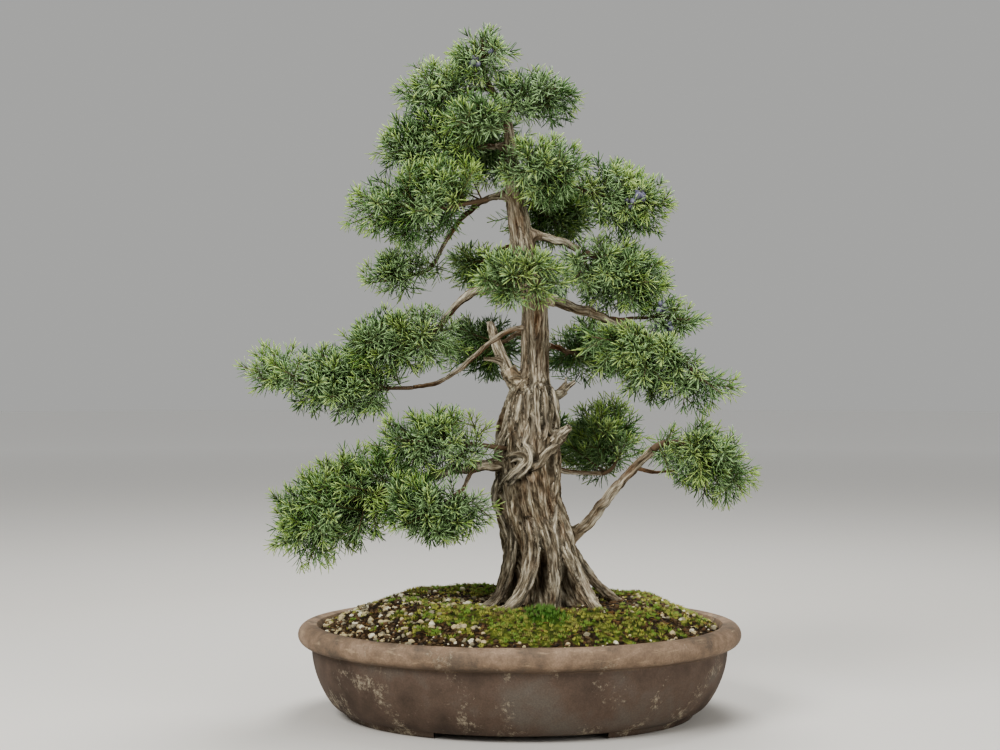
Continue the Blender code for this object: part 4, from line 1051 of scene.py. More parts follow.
def trunkStrands():
    # every strand of the trunk: path, radii and how silver it is
    look = trunkLook
    rng = random.Random(look["seed"])
    strands = []
    wave, waveSize = look["stripWave"]
    for i in range(look["strips"]):
        start = 2 * math.pi * i / look["strips"] + rng.uniform(-0.1, 0.1)
        low = rng.uniform(*look["stripLow"])
        high = min(look["stripTop"], low + rng.uniform(*look["stripLength"]))
        turn = rng.uniform(*look["stripTurn"])
        phase = rng.uniform(0, 2 * math.pi)
        radius = rng.uniform(*look["stripRadius"])
        points, radii = [], []
        for k in range(look["stripPoints"]):
            t = k / (look["stripPoints"] - 1)
            z = low + (high - low) * t
            angle = start + turn * (z - low) * mm + wave * math.sin(phase + z / waveSize)
            middle, wide = trunkAt(z * mm)
            reach = flutedRadius(angle, middle.z, wide) + (look["stripProud"] - 1) * radius * mm
            points.append(middle + outward(angle) * reach)
            radii.append(radius * (0.5 + 0.5 * math.sin(math.pi * t) ** 0.5))
        strands.append((points, radii, look["stripSilver"] if rng.random() < look["silverShare"] else 0))
    for leg in look["legs"]:
        strands += rootLeg(*leg, rng)
    low, high = look["leaderHeights"]
    easeIn, easeOut = look["leaderEase"]
    last = look["leaderPoints"] - 1
    for i in range(look["leaderStrands"]):
        start = 2 * math.pi * i / look["leaderStrands"]
        points, radii = [], []
        for k in range(last + 1):
            z = low + (high - low) * k / last
            angle = start + 0.3 * math.sin(z / 30 + i * 2)
            middle, wide = trunkAt(z * mm)
            ease = math.sin(math.pi / 2 * min(1, k / easeIn, (last - k) / easeOut))
            reach, thick = (look[key][0] + look[key][1] * ease for key in ("leaderReach", "leaderThick"))
            points.append(middle + outward(angle) * wide * reach)
            radii.append(wide / mm * thick)
        strands.append((points, radii, 0.6 if i % 2 else 0.2))
    for name, silver, radius, proud, places in look["front"]:
        count = len(places)
        radii = [radius[0] + (radius[1] - radius[0]) * k / (count - 1) for k in range(count)]
        points = [onFront(x, z, (proud - 1) * r * mm) for (x, z), r in zip(places, radii)]
        shares = np.linspace(0, 1, 20)
        ends = shares if name in look["joined"] else np.minimum(shares, 1 - shares)
        eased = look["fadeTo"] + (1 - look["fadeTo"]) * np.sin(np.pi / 2 * np.clip(ends / look["fade"], 0, 1))
        strands.append((points, list(spread(radii, len(shares)) * eased), silver))
    return strands


def rootLeg(start, end, reach, thick, height, rng):
    # a claw root: one thick strand and two thinner ones that leave the trunk, lean out and dive into the ground
    strands = []
    ground = trunkForm["ground"] / mm
    count = trunkLook["legPoints"]
    for offset, share, silver in trunkLook["legStrands"]:
        points, radii = [], []
        for k in range(count):
            u = k / (count - 1)
            z = ground - 6 + (height - ground) * (1 - u) ** 1.75 + 5 * (1 - u)
            angle = math.radians(start + (end - start) * u ** 0.8 + offset * (1.3 - 0.75 * u)
                                 + 2.5 * math.sin(5 * u + offset))
            middle, wide = trunkAt(max(z, ground) * mm)
            out = wide * 0.88 + (reach + 5) * mm * u ** 1.5 * (1 - 0.02 * abs(offset))
            place = middle + outward(angle) * out
            points.append(Vector((place.x, place.y, z * mm)))
            swell = 0.38 + 0.6 * math.sin(math.pi / 2 * min(1, u / 0.45)) - 0.34 * u * u
            radii.append(thick * share * swell * rng.uniform(*trunkLook["legUneven"]))
        strands.append((points, radii, silver))
    return strands


def trunkCore():
    # the trunk's plain form, a little slimmer, as one closed loft
    look = trunkLook
    share = look["coreShare"]
    low, high = look["coreHeights"]
    rings, sides = look["coreRings"], look["coreSides"]
    angles = 2 * math.pi * np.arange(sides) / sides
    places = []
    for i in range(rings):
        z = low * mm + (high - low) * mm * i / (rings - 1)
        middle, radius = trunkAt(z)
        if z > look["coreFullFrom"]:
            share = min(look["coreFull"], share + 0.01)
        flare = look["coreFlare"] * math.exp((trunkForm["ground"] - z) / look["coreFlareFade"])
        for angle in angles:
            reach = flutedRadius(angle, z, radius) * share + flare
            places.append((middle.x + math.cos(angle) * reach, middle.y + math.sin(angle) * reach, z))
    places = np.array(places)
    ends = places[:sides].mean(axis=0), places[-sides:].mean(axis=0)
    return np.vstack((places, *ends)), tubeFaces(rings, sides)


def remeshed(name, parts, voxel):
    obj = meshFrom(name, *joinArrays(parts))
    applyModifier(obj, "REMESH", mode="VOXEL", voxel_size=voxel, adaptivity=0)
    return obj


def nearestOn(places, path):
    # the distance to the nearest point of a path, and that point's number
    best = np.full(len(places), 1e9)
    index = np.zeros(len(places), dtype=int)
    for i, point in enumerate(path):
        away = np.einsum("ij,ij->i", places - point, places - point)
        closer = away < best
        best[closer] = away[closer]
        index[closer] = i
    return np.sqrt(best), index


def trunkGrain(places):
    # the wood's own space: round the trunk, and along the fibres, which run out along the roots
    look = trunkLook
    levels = np.array(trunkForm["levels"], dtype=float) * mm
    x = np.interp(places[:, 2], levels[:, 0], levels[:, 1])
    y = np.interp(places[:, 2], levels[:, 0], levels[:, 2])
    radius = np.interp(places[:, 2], levels[:, 0], levels[:, 3])
    across, back = places[:, 0] - x, places[:, 1] - y
    out = np.hypot(across, back)
    angle = np.arctan2(back, across)
    for wave, size, seed in look["grainWaves"]:
        angle += wave * softNoise(places / (size * mm), seed)
    angle += look["grainTurn"] * (places[:, 2] - trunkForm["ground"])
    around = np.minimum(radius, look["grainWidest"])
    run = places[:, 2] - out * look["grainOut"]
    return np.column_stack((np.cos(angle) * around, np.sin(angle) * around, run))


def featureGrain(grain, places, path, radii, shift):
    # near a strand of its own the fibres follow that strand
    fine = refine(path, 1.5 * mm)
    wide = spread(radii, len(fine)) * mm
    away, index = nearestOn(places, fine)
    share = away / wide[index]
    near = share < 1.12
    along, side, up = framesAlong(fine)
    run = runAlong(fine)
    offset = places[near] - fine[index[near]]
    grain[near] = np.column_stack((
        np.einsum("ij,ij->i", offset, side[index[near]]) + shift,
        np.einsum("ij,ij->i", offset, up[index[near]]),
        run[index[near]] + np.einsum("ij,ij->i", offset, along[index[near]]),
    ))
    return share


def collars(paths):
    # short swellings where each bough leaves the trunk
    parts = []
    for name, spec in limbForm.items():
        if "parent" in spec:
            continue
        fine = refine(paths[name], 2 * mm)
        away = np.linalg.norm(fine - fine[0], axis=1)
        wide = trunkAt(spec["at"] * mm)[1]
        part = fine[away < wide + (7 + spec["radius"][0]) * mm]
        t = np.linspace(0, 1, len(part))
        swell = 1.25 if name in stubForm else 1.6
        radii = spec["radius"][0] * mm * (swell - (swell - 0.9) * t ** 0.8)
        parts.append(tubeArrays(part, radii, 14))
    return parts


def makeTrunk(finish, paths):
    look = trunkLook
    strands = trunkStrands()
    parts = [trunkCore()]
    for points, radii, silver in strands:
        fine = refine(points, 3 * mm)
        parts.append(tubeArrays(fine, spread(radii, len(fine)) * mm, 12))
    parts += collars(paths)
    trunk = remeshed("trunkBark", parts, look["voxel"])
    places, normals = placesOf(trunk), normalsOf(trunk)
    grain = trunkGrain(places)
    bare = look["bare"][0] + look["bare"][1] * smoothStep(places[:, 2], *look["bareFrom"])
    silver = bare * smoothStep(softNoise(stretched(grain, *look["barePatch"]), 53), -0.4, 0.4)
    for number, (points, radii, shine) in enumerate(strands):
        own = number >= look["strips"]
        if own or shine:
            space = grain if own else grain.copy()
            share = featureGrain(space, places, points, radii, number * 37 * mm)
            silver = np.maximum(silver, shine * (1 - smoothStep(share, 0.95, 1.3)))
    heights, strengths = zip(*look["relief"])
    out, hollow = barkRelief(grain, np.interp(places[:, 2], np.array(heights) * mm, strengths))
    out *= 1 - look["silverSmooth"] * silver
    for radius, depth, run in look["clefts"]:
        fine = refine([onFront(x, z, 0) for x, z in run], 1.5 * mm)
        away = nearestOn(places, fine)[0]
        dip = np.exp(-(away / (radius * mm)) ** 2)
        out -= depth * mm * dip
        # the clefts are painted dark too: partly the wood's own colour, partly painted shade
        hollow = np.maximum(hollow, look["cleftDark"] * dip)
    hollow *= np.interp(places[:, 2], (300 * mm, 400 * mm), (1, 0.6))
    setPlaces(trunk, places + normals * out[:, None])
    silver = silver * (0.75 + 0.25 * softNoise(places / (9 * mm), 54))
    # the leader is browner, most of all along a streak up its right side
    streak = look["streak"] * np.exp(-((places[:, 0] - look["streakAt"]) / look["streakHalf"]) ** 2)
    warm = smoothStep(places[:, 2], *look["brownFrom"]) * (look["brown"] + streak)
    storeBark(trunk, grain, hollow, silver, warm)
    pick(trunk)
    bpy.ops.object.mode_set(mode="EDIT")
    bpy.ops.mesh.select_all(action="SELECT")
    bpy.ops.mesh.bisect(plane_co=(0, 0, look["cutHeight"]), plane_no=(0, 0, 1), clear_inner=True, use_fill=True)
    smoothOver(trunk)
    dress(trunk, finish)
    finishPiece(trunk, "bark", "trunk")


# Boughs: tapering, a little knotted, with the same bark on a smaller scale
# apart keeps the bark of each in a part of the noise of its own
boughLook = dict(step=1.5 * mm, sides=22, knot=0.14, relief=0.42, fineness=1.6, apart=41, seed=60)


def makeBoughs(finish, paths):
    look = boughLook
    parts, grains, warms = [], [], []
    for number, (name, spec) in enumerate(boughForm.items()):
        fine = refine(paths[name], look["step"])
        run = runAlong(fine)
        t = run / run[-1]
        base, tip = (r * mm for r in spec["radius"])
        lane = np.column_stack((np.full(len(run), number * 7.0), run / (13 * mm), run * 0))
        fat = (base + (tip - base) * t) * (1 + look["knot"] * softNoise(lane, look["seed"]))
        # crooks: the limb wanders by a share of its own thickness
        wander = np.column_stack([softNoise(lane + k * 31.7, look["seed"] + k) for k in range(3)])
        fine = fine + wander * fat[:, None] * 0.5 * np.sin(math.pi * np.clip(t, 0, 1))[:, None]
        places, faces = tubeArrays(fine, fat, look["sides"])
        parts.append((places, faces))
        angles = np.tile(2 * math.pi * np.arange(look["sides"]) / look["sides"], len(fine))
        along = np.repeat(run, look["sides"])
        wide = np.repeat(fat, look["sides"])
        shift = number * look["apart"] * mm
        grain = np.column_stack((np.cos(angles) * wide + shift, np.sin(angles) * wide, along))
        ends = np.array(((shift, 0, 0), (shift, 0, run[-1])))
        grains.append(np.vstack((grain, ends)))
        warms.append(np.full(len(places), 0.5 if base < 4 * mm else 0.1))
    boughs = meshFrom("boughBark", *joinArrays(parts))
    grain = np.vstack(grains)
    out, hollow = barkRelief(grain * look["fineness"], look["relief"])
    setPlaces(boughs, placesOf(boughs) + normalsOf(boughs) * out[:, None])
    silver = 0.8 * smoothStep(softNoise(stretched(grain, 9, 40), 61), -0.3, 0.4)
    storeBark(boughs, grain, hollow * 0.8, silver, np.concatenate(warms))
    smoothOver(boughs)
    dress(boughs, finish)
    finishPiece(boughs, "bark", *boughForm)


# Dead stubs: bundles of bare, twisted wood with broken ends, and one with a hollow heart
stubLook = dict(
    voxel=0.8 * mm, relief=0.45, fineness=1.5, apart=53, grainReach=(1.5, 1.6),
    # the bundle of each stub: radius at its foot and tip, strands, twist and seed
    bundles=(((9.8, 4.2), 6, 1.6, 1), ((3.6, 2.8), 3, 0.8, 2), ((9.6, 5.0), 7, 1.2, 3), ((6.2, 2.6), 5, 0.9, 4)),
    # the right stub's second prong starts at one of its points and goes through two places
    prong=((3.2, 2.0), 3, 0.6, 5), prongFrom=2, prongPlaces=((44, 2, 326), (47, 1, 335)),
    heartSides=14, heartFoot=1.6 * mm, heartMouth=3.1 * mm, heartDepth=14 * mm, heartSunk=1 * mm,
)


def bundle(path, radii, count, twist, seed):
    # strands that wind round a path, each ending at its end or a little short of it
    rng = random.Random(seed)
    fine = refine(path, 2.5 * mm)
    side, up = framesAlong(fine)[1:]
    wide = np.linspace(radii[0], radii[1], len(fine)) * mm
    parts = [tubeArrays(fine, wide * 0.8, 14)]
    for i in range(count):
        start = 2 * math.pi * i / count + rng.uniform(-0.3, 0.3)
        end = max(4, int(len(fine) * rng.uniform(0.86, 1.0)))
        angle = start + twist * np.linspace(0, 1, len(fine))
        ring = side * np.cos(angle)[:, None] + up * np.sin(angle)[:, None]
        strand = fine + ring * (wide * 0.55)[:, None]
        own = wide * rng.uniform(0.42, 0.6)
        own = own * np.interp(np.arange(len(fine)), (end - 4, end), (1, 0.45))
        parts.append(tubeArrays(strand[:end], own[:end], 10))
    return parts


def makeStubs(finish, paths):
    look = stubLook
    parts = []
    for name, settings in zip(stubForm, look["bundles"]):
        parts += bundle(paths[name], *settings)
    start = paths["deadwood_stub_right"][look["prongFrom"]]
    parts += bundle([start] + [vector(place) for place in look["prongPlaces"]], *look["prong"])
    stubs = remeshed("deadwoodStubs", parts, look["voxel"])
    # the rotted heart of the front stub
    route = paths["deadwood_stub_front"]
    way = (route[-1] - route[-3]).normalized()
    deselectAll()
    bpy.ops.mesh.primitive_cone_add(vertices=look["heartSides"], radius1=look["heartFoot"],
                                    radius2=look["heartMouth"], depth=look["heartDepth"],
                                    location=route[-1] - way * look["heartSunk"],
                                    rotation=way.to_track_quat("Z", "Y").to_euler())
    cutAway(stubs, bpy.context.object)
    places, normals = placesOf(stubs), normalsOf(stubs)
    grain = trunkGrain(places)
    for number, (name, spec) in enumerate(stubForm.items()):
        radii = [radius * reach for radius, reach in zip(spec["radius"], look["grainReach"])]
        featureGrain(grain, places, paths[name], radii, (number + 3) * look["apart"] * mm)
    out, hollow = barkRelief(grain * look["fineness"], look["relief"])
    setPlaces(stubs, places + normals * out[:, None])
    silver = 0.62 + 0.3 * softNoise(places / (12 * mm), 71)
    storeBark(stubs, grain, hollow * 0.85, silver, np.full(len(places), 0.1))
    smoothOver(stubs)
    dress(stubs, finish)
    finishPiece(stubs, "deadwood", *stubForm)


# Foliage: the source's pads and rule, with finer shoots and needles inside the same reach.
# Each pad keeps to an ellipsoid: middle, half sizes and tilt in degrees, where + is left end down
padForm = {
    "foliage_apex": dict(on="trunk_tip", middle=(-37, -4, 655), half=(34, 34, 34), along=(0, 0, 1), fruit=6,
                         peak=0.85),
    "foliage_top_left": dict(on=622, middle=(-76, 0, 621), half=(43, 34, 32), tilt=15),
    "foliage_top_right": dict(on=600, middle=(16, -8, 613), half=(42, 32, 26), tilt=-4),
    "foliage_top_front": dict(on=582, middle=(-44, -34, 582), half=(34, 28, 29)),
    "foliage_top_back": dict(on=570, middle=(-30, 47, 574), half=(48, 38, 38)),
    "foliage_upper_left": dict(on="bough_upper_left", middle=(-93, 5, 563), half=(51, 42, 36)),
    "foliage_left_upper": dict(on="bough_left_upper", middle=(-102, -28, 506), half=(73, 44, 37), tilt=14),
    "foliage_right_inner": dict(on=541, middle=(24, -32, 536), half=(46, 36, 32)),
    "foliage_right_outer": dict(on="bough_upper_right", middle=(102, -5, 513), half=(50, 44, 32), tilt=-24,
                                fruit=14),
    "foliage_front": dict(on="bough_front", middle=(-1, -66, 431), half=(52, 30, 28)),
    "foliage_right_middle": dict(on="bough_right_upper", middle=(95, -14, 434), half=(58, 46, 37)),
    "foliage_right_tip": dict(on="branch_right_berry", middle=(146, -26, 392), half=(35, 27, 20), fruit=9),
    "foliage_right_lower": dict(on="bough_right_middle", middle=(135, -45, 343), half=(76, 42, 32), tilt=-18,
                                along=(1, 0, 0)),
    "foliage_low_right": dict(on="bough_low_right", middle=(183, -20, 250), half=(49, 42, 36), tilt=-30),
    "foliage_left_middle": dict(on="bough_left_middle", middle=(-118, -30, 371), half=(60, 42, 32)),
    "foliage_far_left": dict(on="bough_left_slender", middle=(-194, -12, 331), half=(86, 42, 33), tilt=-9),
    "foliage_small_left": dict(on="bough_left_hanging", middle=(-118, 4, 440), half=(43, 30, 24), tilt=16),
    "foliage_low_left_inner": dict(on=262, middle=(-83, -42, 271), half=(62, 38, 31)),
    "foliage_low_left_front": dict(on="branch_low_left_front", middle=(-84, -62, 210), half=(56, 36, 33)),
    "foliage_low_left_outer": dict(on="bough_low_left", middle=(-180, -32, 206), half=(79, 50, 50), tilt=38),
    "foliage_back_left_upper": dict(on="bough_back_left_upper", middle=(-42, 64, 449), half=(34, 36, 23)),
    "foliage_back_left_middle": dict(on="bough_back_left_middle", middle=(-42, 88, 367), half=(44, 44, 31)),
    "foliage_back_right_middle": dict(on="bough_back_right_middle", middle=(76, 86, 362), half=(44, 44, 31)),
    "foliage_back_right_low": dict(on="bough_back_right_low", middle=(87, 80, 269), half=(46, 44, 40),
                                   along=(0.5, 0.2, 0.8)),
    "foliage_back_upper": dict(on="bough_back_upper", middle=(34, 70, 506), half=(54, 42, 34)),
    "foliage_back_middle": dict(on="bough_back_middle", middle=(-2, 112, 438), half=(54, 42, 27)),
    "foliage_back_low": dict(on="bough_back_low", middle=(22, 128, 262), half=(48, 44, 31)),
}
# the pads that make up one piece of needles, and one of twigs
padGroups = {
    "Top": ("apex", "top_left", "top_right", "top_front", "top_back"),
    "UpperLeft": ("upper_left", "left_upper", "small_left"),
    "UpperRight": ("right_inner", "right_outer", "front", "back_upper"),
    "Right": ("right_middle", "right_tip", "right_lower", "low_right"),
    "Left": ("left_middle", "far_left"),
    "LowLeft": ("low_left_inner", "low_left_front", "low_left_outer"),
    "Back": ("back_left_upper", "back_left_middle", "back_right_middle",
             "back_right_low", "back_middle", "back_low"),
}
growth = dict(
    seed=41, stemTip=1.1 * mm, stemPoints=5, stemReach=0.6, stemLead=4 * mm, stemBare=6 * mm, stemJoin=0.2,
    stemWander=2.2 * mm, twigArea=2000 * mm ** 2, twigBack=0.6, sideSpacing=30 * mm, sideAngle=math.radians(55),
    sprayLength=32 * mm, sprayLeast=0.75, neighbourLimit=0.6, gap=0.3 * mm,
)
# the finer shoots of a spray, and how far they reach: a share of the pad's half size, deeper in some directions
shootLook = dict(
    along=4, alongTo=0.78, angle=(60, 46), length=(34 * mm, 24 * mm), second=0.35, secondFrom=20 * mm,
    secondLength=20 * mm, bareSpacing=15 * mm, bareLength=28 * mm, lift=(0.1, 1.5), curve=0.16,
    inner=0.9, innerReach=(0.34, 0.7),
    reach=0.96, inward=0.09, lobes=0.15, ragged=0.13, least=10 * mm, thick=(1.1, 0.8, 0.5, 0.4),
    seed=900, turned=0.4, uneven=(0.8, 1.15), secondWay=(0.7, 1.1), secondAt=(0.3, 0.6), secondUneven=(0.8, 1.2),
    bareFrom=8 * mm, bareAngle=(45, 70), bareUneven=(0.7, 1.2), innerLeast=8 * mm, innerLength=0.8,
    # shares of the shoots: deep green outside and inside a pad, more of it inside as painted shade, grey-green,
    # and where yellow-green begins; the last is how much lighter a pad's top is painted, as painted light from
    # above
    deep=(0.16, 0.75), grey=0.2, fresh=0.94, paler=0.15,
)
needleLook = dict(
    length=15.5 * mm, width=1.15 * mm, fold=0.32 * mm, spacing=4.0 * mm, each=3, lean=(60, 34), jitter=0.09,
    bare=3 * mm, reach=1.35, young=0.76, youngWhorls=2, seed=77, shoulder=0.8, foot=0.8, keel=0.4,
    turned=0.1, uneven=(0.82, 1.15), woodGap=0.4 * mm, roughness=0.5, specular=0.4,
    # waxy awls, green outside and banded pale inside, and yellow-green where they are new
    colours=(("deepNeedle", "#4b6b38"), ("greenNeedle", "#6f9450"), ("greyNeedle", "#6d905a"),
             ("newNeedle", "#97b45c"), ("needleBand", "#98b480"), ("newBand", "#b3c97e")),
)


def spaceOf(spec):
    turn = Matrix.Rotation(math.radians(-spec.get("tilt", 0)), 3, "Y")
    return vector(spec["middle"]), vector(spec["half"]), turn, turn.transposed()


def padLocal(space, place):
    middle, half, _, back = space
    point = back @ (place - middle)
    return Vector([point[k] / half[k] for k in range(3)])


def padPlace(space, local):
    middle, half, turn, _ = space
    return middle + turn @ Vector([local[k] * half[k] for k in range(3)])


def padDepths(space, places):
    # 0 in the middle of a pad's space and 1 on its surface
    middle, half, _, back = space
    return np.linalg.norm((places - np.array(middle)) @ np.array(back).T / np.array(half), axis=1)


def padSurface(space):
    power = 1.6
    a, b, c = (half ** power for half in space[1])
    return 4 * math.pi * ((a * b + a * c + b * c) / 3) ** (1 / power)


def aside(direction, turn):
    # a direction square to this one, at a turn round it
    side = direction.cross(Vector((0, 0, 1)))
    if side.length < 0.1:
        side = direction.cross(Vector((0, 1, 0)))
    side.normalize()
    return side * math.cos(turn) + direction.cross(side).normalized() * math.sin(turn)


def stemStart(spec, paths):
    on = spec["on"]
    if on == "trunk_tip":
        middle, radius = trunkAt(trunkForm["levels"][-1][0] * mm)
        heading = Vector((0, 0, 1))
        return middle + heading * growth["gap"], heading, radius * 0.85, growth["stemBare"]
    if isinstance(on, str):
        path = paths[on]
        heading = (path[-1] - path[-2]).normalized()
        return (path[-1] + heading * growth["gap"], heading, limbForm[on]["radius"][1] * mm * 0.9,
                growth["stemBare"])
    middle, radius = trunkAt(on * mm)
    heading = (vector(spec["middle"]) - middle).normalized()
    return middle, heading, min(radius * 0.5, 3 * mm), radius + growth["stemBare"]


def stemPath(spec, space, start, heading, rng):
    if "along" in spec:
        far = Vector(spec["along"]).normalized()
    else:
        far = (-padLocal(space, start)).normalized()
    end = padPlace(space, far * growth["stemReach"])
    bend = start + heading * (end - start).length * 0.4
    points = []
    for i in range(growth["stemPoints"]):
        t = i / (growth["stemPoints"] - 1)
        wander = Vector([rng.uniform(-1, 1) for _ in range(3)]) * growth["stemWander"] * (0 < t < 1)
        points.append(start.lerp(bend, t).lerp(bend.lerp(end, t), t) + wander)
    points.insert(1, start + heading * growth["stemLead"])
    return points, padPlace(space, far)


def pathLength(points):
    return sum((b - a).length for a, b in zip(points, points[1:]))


def alongPath(points, distance):
    for a, b in zip(points, points[1:]):
        step = (b - a).length
        if distance <= step or b is points[-1]:
            return a.lerp(b, min(distance / step, 1)), (b - a) / step
        distance -= step


def twigFoot(stem, target, least):
    length = pathLength(stem)
    tries = [least + (length - least) * i / 30 for i in range(31)]
    nearest = min(tries, key=lambda d: (alongPath(stem, d)[0] - target).length)
    away = (alongPath(stem, nearest)[0] - target).length
    return alongPath(stem, max(least, nearest - away * growth["twigBack"]))[0]


def twigPlan(space, stem, far, least, rng):
    count = max(5, round(padSurface(space) / growth["twigArea"]))
    start = rng.uniform(0, 2 * math.pi)
    twigs = [(stem[-1].lerp(stem[-2], growth["stemJoin"]), far)]
    for i in range(count):
        along = 1 - 2 * (i + 0.5) / count
        ring = math.sqrt(1 - along * along)
        turn = start + i * goldenTurn
        tip = padPlace(space, Vector((along, ring * math.cos(turn), ring * math.sin(turn)))
                       * rng.uniform(0.92, 1.03))
        twigs.append((twigFoot(stem, tip, least), tip))
    return twigs


def sprayPlan(foot, tip, rng):
    # the shoots of one twig: foot, direction and length. The first is the twig itself
    reach = (tip - foot).length
    direction = (tip - foot) / reach
    shoots = [(foot, direction, max(growth["sprayLength"] * growth["sprayLeast"], reach))]
    rng.uniform(0, math.pi)  # the source's roll of the spray, drawn so that what follows stays the same
    bare = reach - growth["sprayLength"]
    turn = rng.uniform(0, 2 * math.pi)
    for i in range(round(bare / growth["sideSpacing"])):
        at = foot + direction * bare * (i + 0.5) / round(bare / growth["sideSpacing"])
        turn += goldenTurn
        heading = direction * math.cos(growth["sideAngle"]) + aside(direction, turn) * math.sin(growth["sideAngle"])
        shoots.append((at, heading, growth["sprayLength"] * rng.uniform(1.0, 1.2)))
        rng.uniform(0, math.pi)
    return shoots


def shootBend(direction, rng):
    # shoots turn up towards the light, and a little at random
    lift = Vector((rng.uniform(-1, 1), rng.uniform(-1, 1), rng.uniform(*shootLook["lift"])))
    lift -= direction * lift.dot(direction)
    return lift * shootLook["curve"]


def lobedReach(way, number):
    # how far a pad's shoots reach in one direction: pads are lobed, not round
    turn = number * 1.7
    wave = math.sin(4.3 * way.x + 2.2 * way.z + turn) * math.sin(3.9 * way.z - 2.4 * way.y + 2.3 * turn)
    wave += 0.7 * math.sin(7.1 * way.x - 4.7 * way.y + 5.3 * way.z + 3.1 * turn)
    return shootLook["reach"] + shootLook["lobes"] * wave


def shootRoom(space, spec, number, rng):
    # a function that gives the length a shoot may have, or nothing where too little is left
    middle = space[0]
    inward = (trunkAt(middle.z)[0] - middle).normalized() * shootLook["inward"]

    def fitted(foot, way, bend, length):
        tip = padLocal(space, foot + (way + bend) * length)
        out = tip.normalized()
        limit = lobedReach(out, number) + rng.uniform(-1, 1) * shootLook["ragged"]
        limit += inward.dot((foot + way * length - middle).normalized())
        limit -= spec.get("peak", 0) * max(0, out.z) * math.hypot(out.x, out.y)
        inside = padLocal(space, foot).length
        if tip.length > limit:
            length *= max(0, limit - inside) / max(tip.length - inside, 1e-6)
        return length if length > shootLook["least"] else 0
    return fitted


def fineShoots(foot, direction, length, rng, tint, fitted):
    # one spray: foot, direction, bend, length, where its needles start, thickness and tint of each shoot
    look = shootLook
    bend = shootBend(direction, rng)
    length = fitted(foot, direction, bend, length)
    if not length:
        return []
    spray = min(growth["sprayLength"], length)
    neck = length - spray

    def placeAt(distance):
        t = distance / length
        return foot + direction * distance + bend * length * t * t, (direction + bend * 2 * t).normalized()

    shoots = [(foot, direction, bend, length, neck + 1 * mm,
               look["thick"][0 if neck > 3 * mm else 1], tint)]
    turn = rng.uniform(0, 2 * math.pi)

    def sideShoot(distance, angle, size, thick):
        nonlocal turn
        turn += goldenTurn + rng.uniform(-look["turned"], look["turned"])
        at, way = placeAt(distance)
        heading = way * math.cos(angle) + aside(way, turn) * math.sin(angle)
        lean = shootBend(heading, rng)
        size = fitted(at, heading, lean, size)
        if size:
            shoots.append((at, heading, lean, size, needleLook["bare"], thick, tint))
        return at, heading, size

    for i in range(look["along"]):
        t = (i + 0.5) / look["along"]
        angle = math.radians(look["angle"][0] + (look["angle"][1] - look["angle"][0]) * t)
        size = (look["length"][0] + (look["length"][1] - look["length"][0]) * t) * rng.uniform(*look["uneven"])
        at, heading, size = sideShoot(neck + spray * look["alongTo"] * t, angle, size, look["thick"][2])
        if size > look["secondFrom"] and rng.random() < look["second"]:
            out = aside(heading, rng.uniform(0, 2 * math.pi))
            way = (heading + out * rng.uniform(*look["secondWay"])).normalized()
            start = at + heading * size * rng.uniform(*look["secondAt"])
            lean = shootBend(way, rng)
            size = fitted(start, way, lean, look["secondLength"] * rng.uniform(*look["secondUneven"]))
            if size:
                shoots.append((start, way, lean, size, needleLook["bare"], look["thick"][3], tint))
    for i in range(int(max(0, neck - look["bareFrom"]) / look["bareSpacing"])):
        sideShoot(look["bareFrom"] + i * look["bareSpacing"], math.radians(rng.uniform(*look["bareAngle"])),
                  look["bareLength"] * rng.uniform(*look["bareUneven"]), look["thick"][2])
    return shoots


def growPad(number, name, paths):
    # the stem of one pad and all its shoots
    spec = padForm[name]
    space = spaceOf(spec)
    rng = random.Random(growth["seed"] + number)
    own = random.Random(shootLook["seed"] + number)
    start, heading, radius, least = stemStart(spec, paths)
    stem, far = stemPath(spec, space, start, heading, rng)
    twigs = twigPlan(space, stem, far, least, rng)
    sprays = []
    for foot, tip in twigs:
        sprays += sprayPlan(foot, tip, rng)
    outer = len(sprays)
    # between the source's twigs, shorter ones fill the pad's inside
    for i in range(round(len(twigs) * shootLook["inner"])):
        away = Vector([own.gauss(0, 1) for _ in range(3)]).normalized()
        tip = padPlace(space, away * own.uniform(*shootLook["innerReach"]))
        foot = twigFoot(stem, tip, least)
        length = (tip - foot).length
        if length > shootLook["innerLeast"]:
            shortest = growth["sprayLength"] * shootLook["innerLength"]
            sprays.append((foot, (tip - foot).normalized(), max(length, shortest)))
    shoots = []
    fitted = shootRoom(space, spec, number, own)
    for i, (at, way, length) in enumerate(sprays):
        # tints: 0 deep green, most of it inside as painted shade, 1 green, 2 grey-green, 3 yellow-green; shoots
        # high in a pad are painted lighter, as painted light from above
        height = (at.z + way.z * length - space[0].z) / space[1].z
        roll = own.random() + shootLook["paler"] * height
        deep = shootLook["deep"][i >= outer]
        tint = 0 if roll < deep else 2 if roll < deep + shootLook["grey"] else 1 if roll < shootLook["fresh"] else 3
        shoots += fineShoots(at, way, length, own, tint, fitted)
    return space, stem, radius, shoots


def shootArrays(shoots):
    feet, ways, bends = (np.array([tuple(s[k]) for s in shoots]) for k in (0, 1, 2))
    lengths, starts, thick, tints = (np.array([s[k] for s in shoots]) for k in (3, 4, 5, 6))
    return feet, ways, bends, lengths, starts, thick, tints


def sideFrames(ways):
    side = np.cross(ways, (0.0, 0.0, 1.0))
    weak = np.linalg.norm(side, axis=1) < 0.1
    side[weak] = np.cross(ways[weak], (0.0, 1.0, 0.0))
    side /= np.linalg.norm(side, axis=1)[:, None]
    return side, np.cross(ways, side)


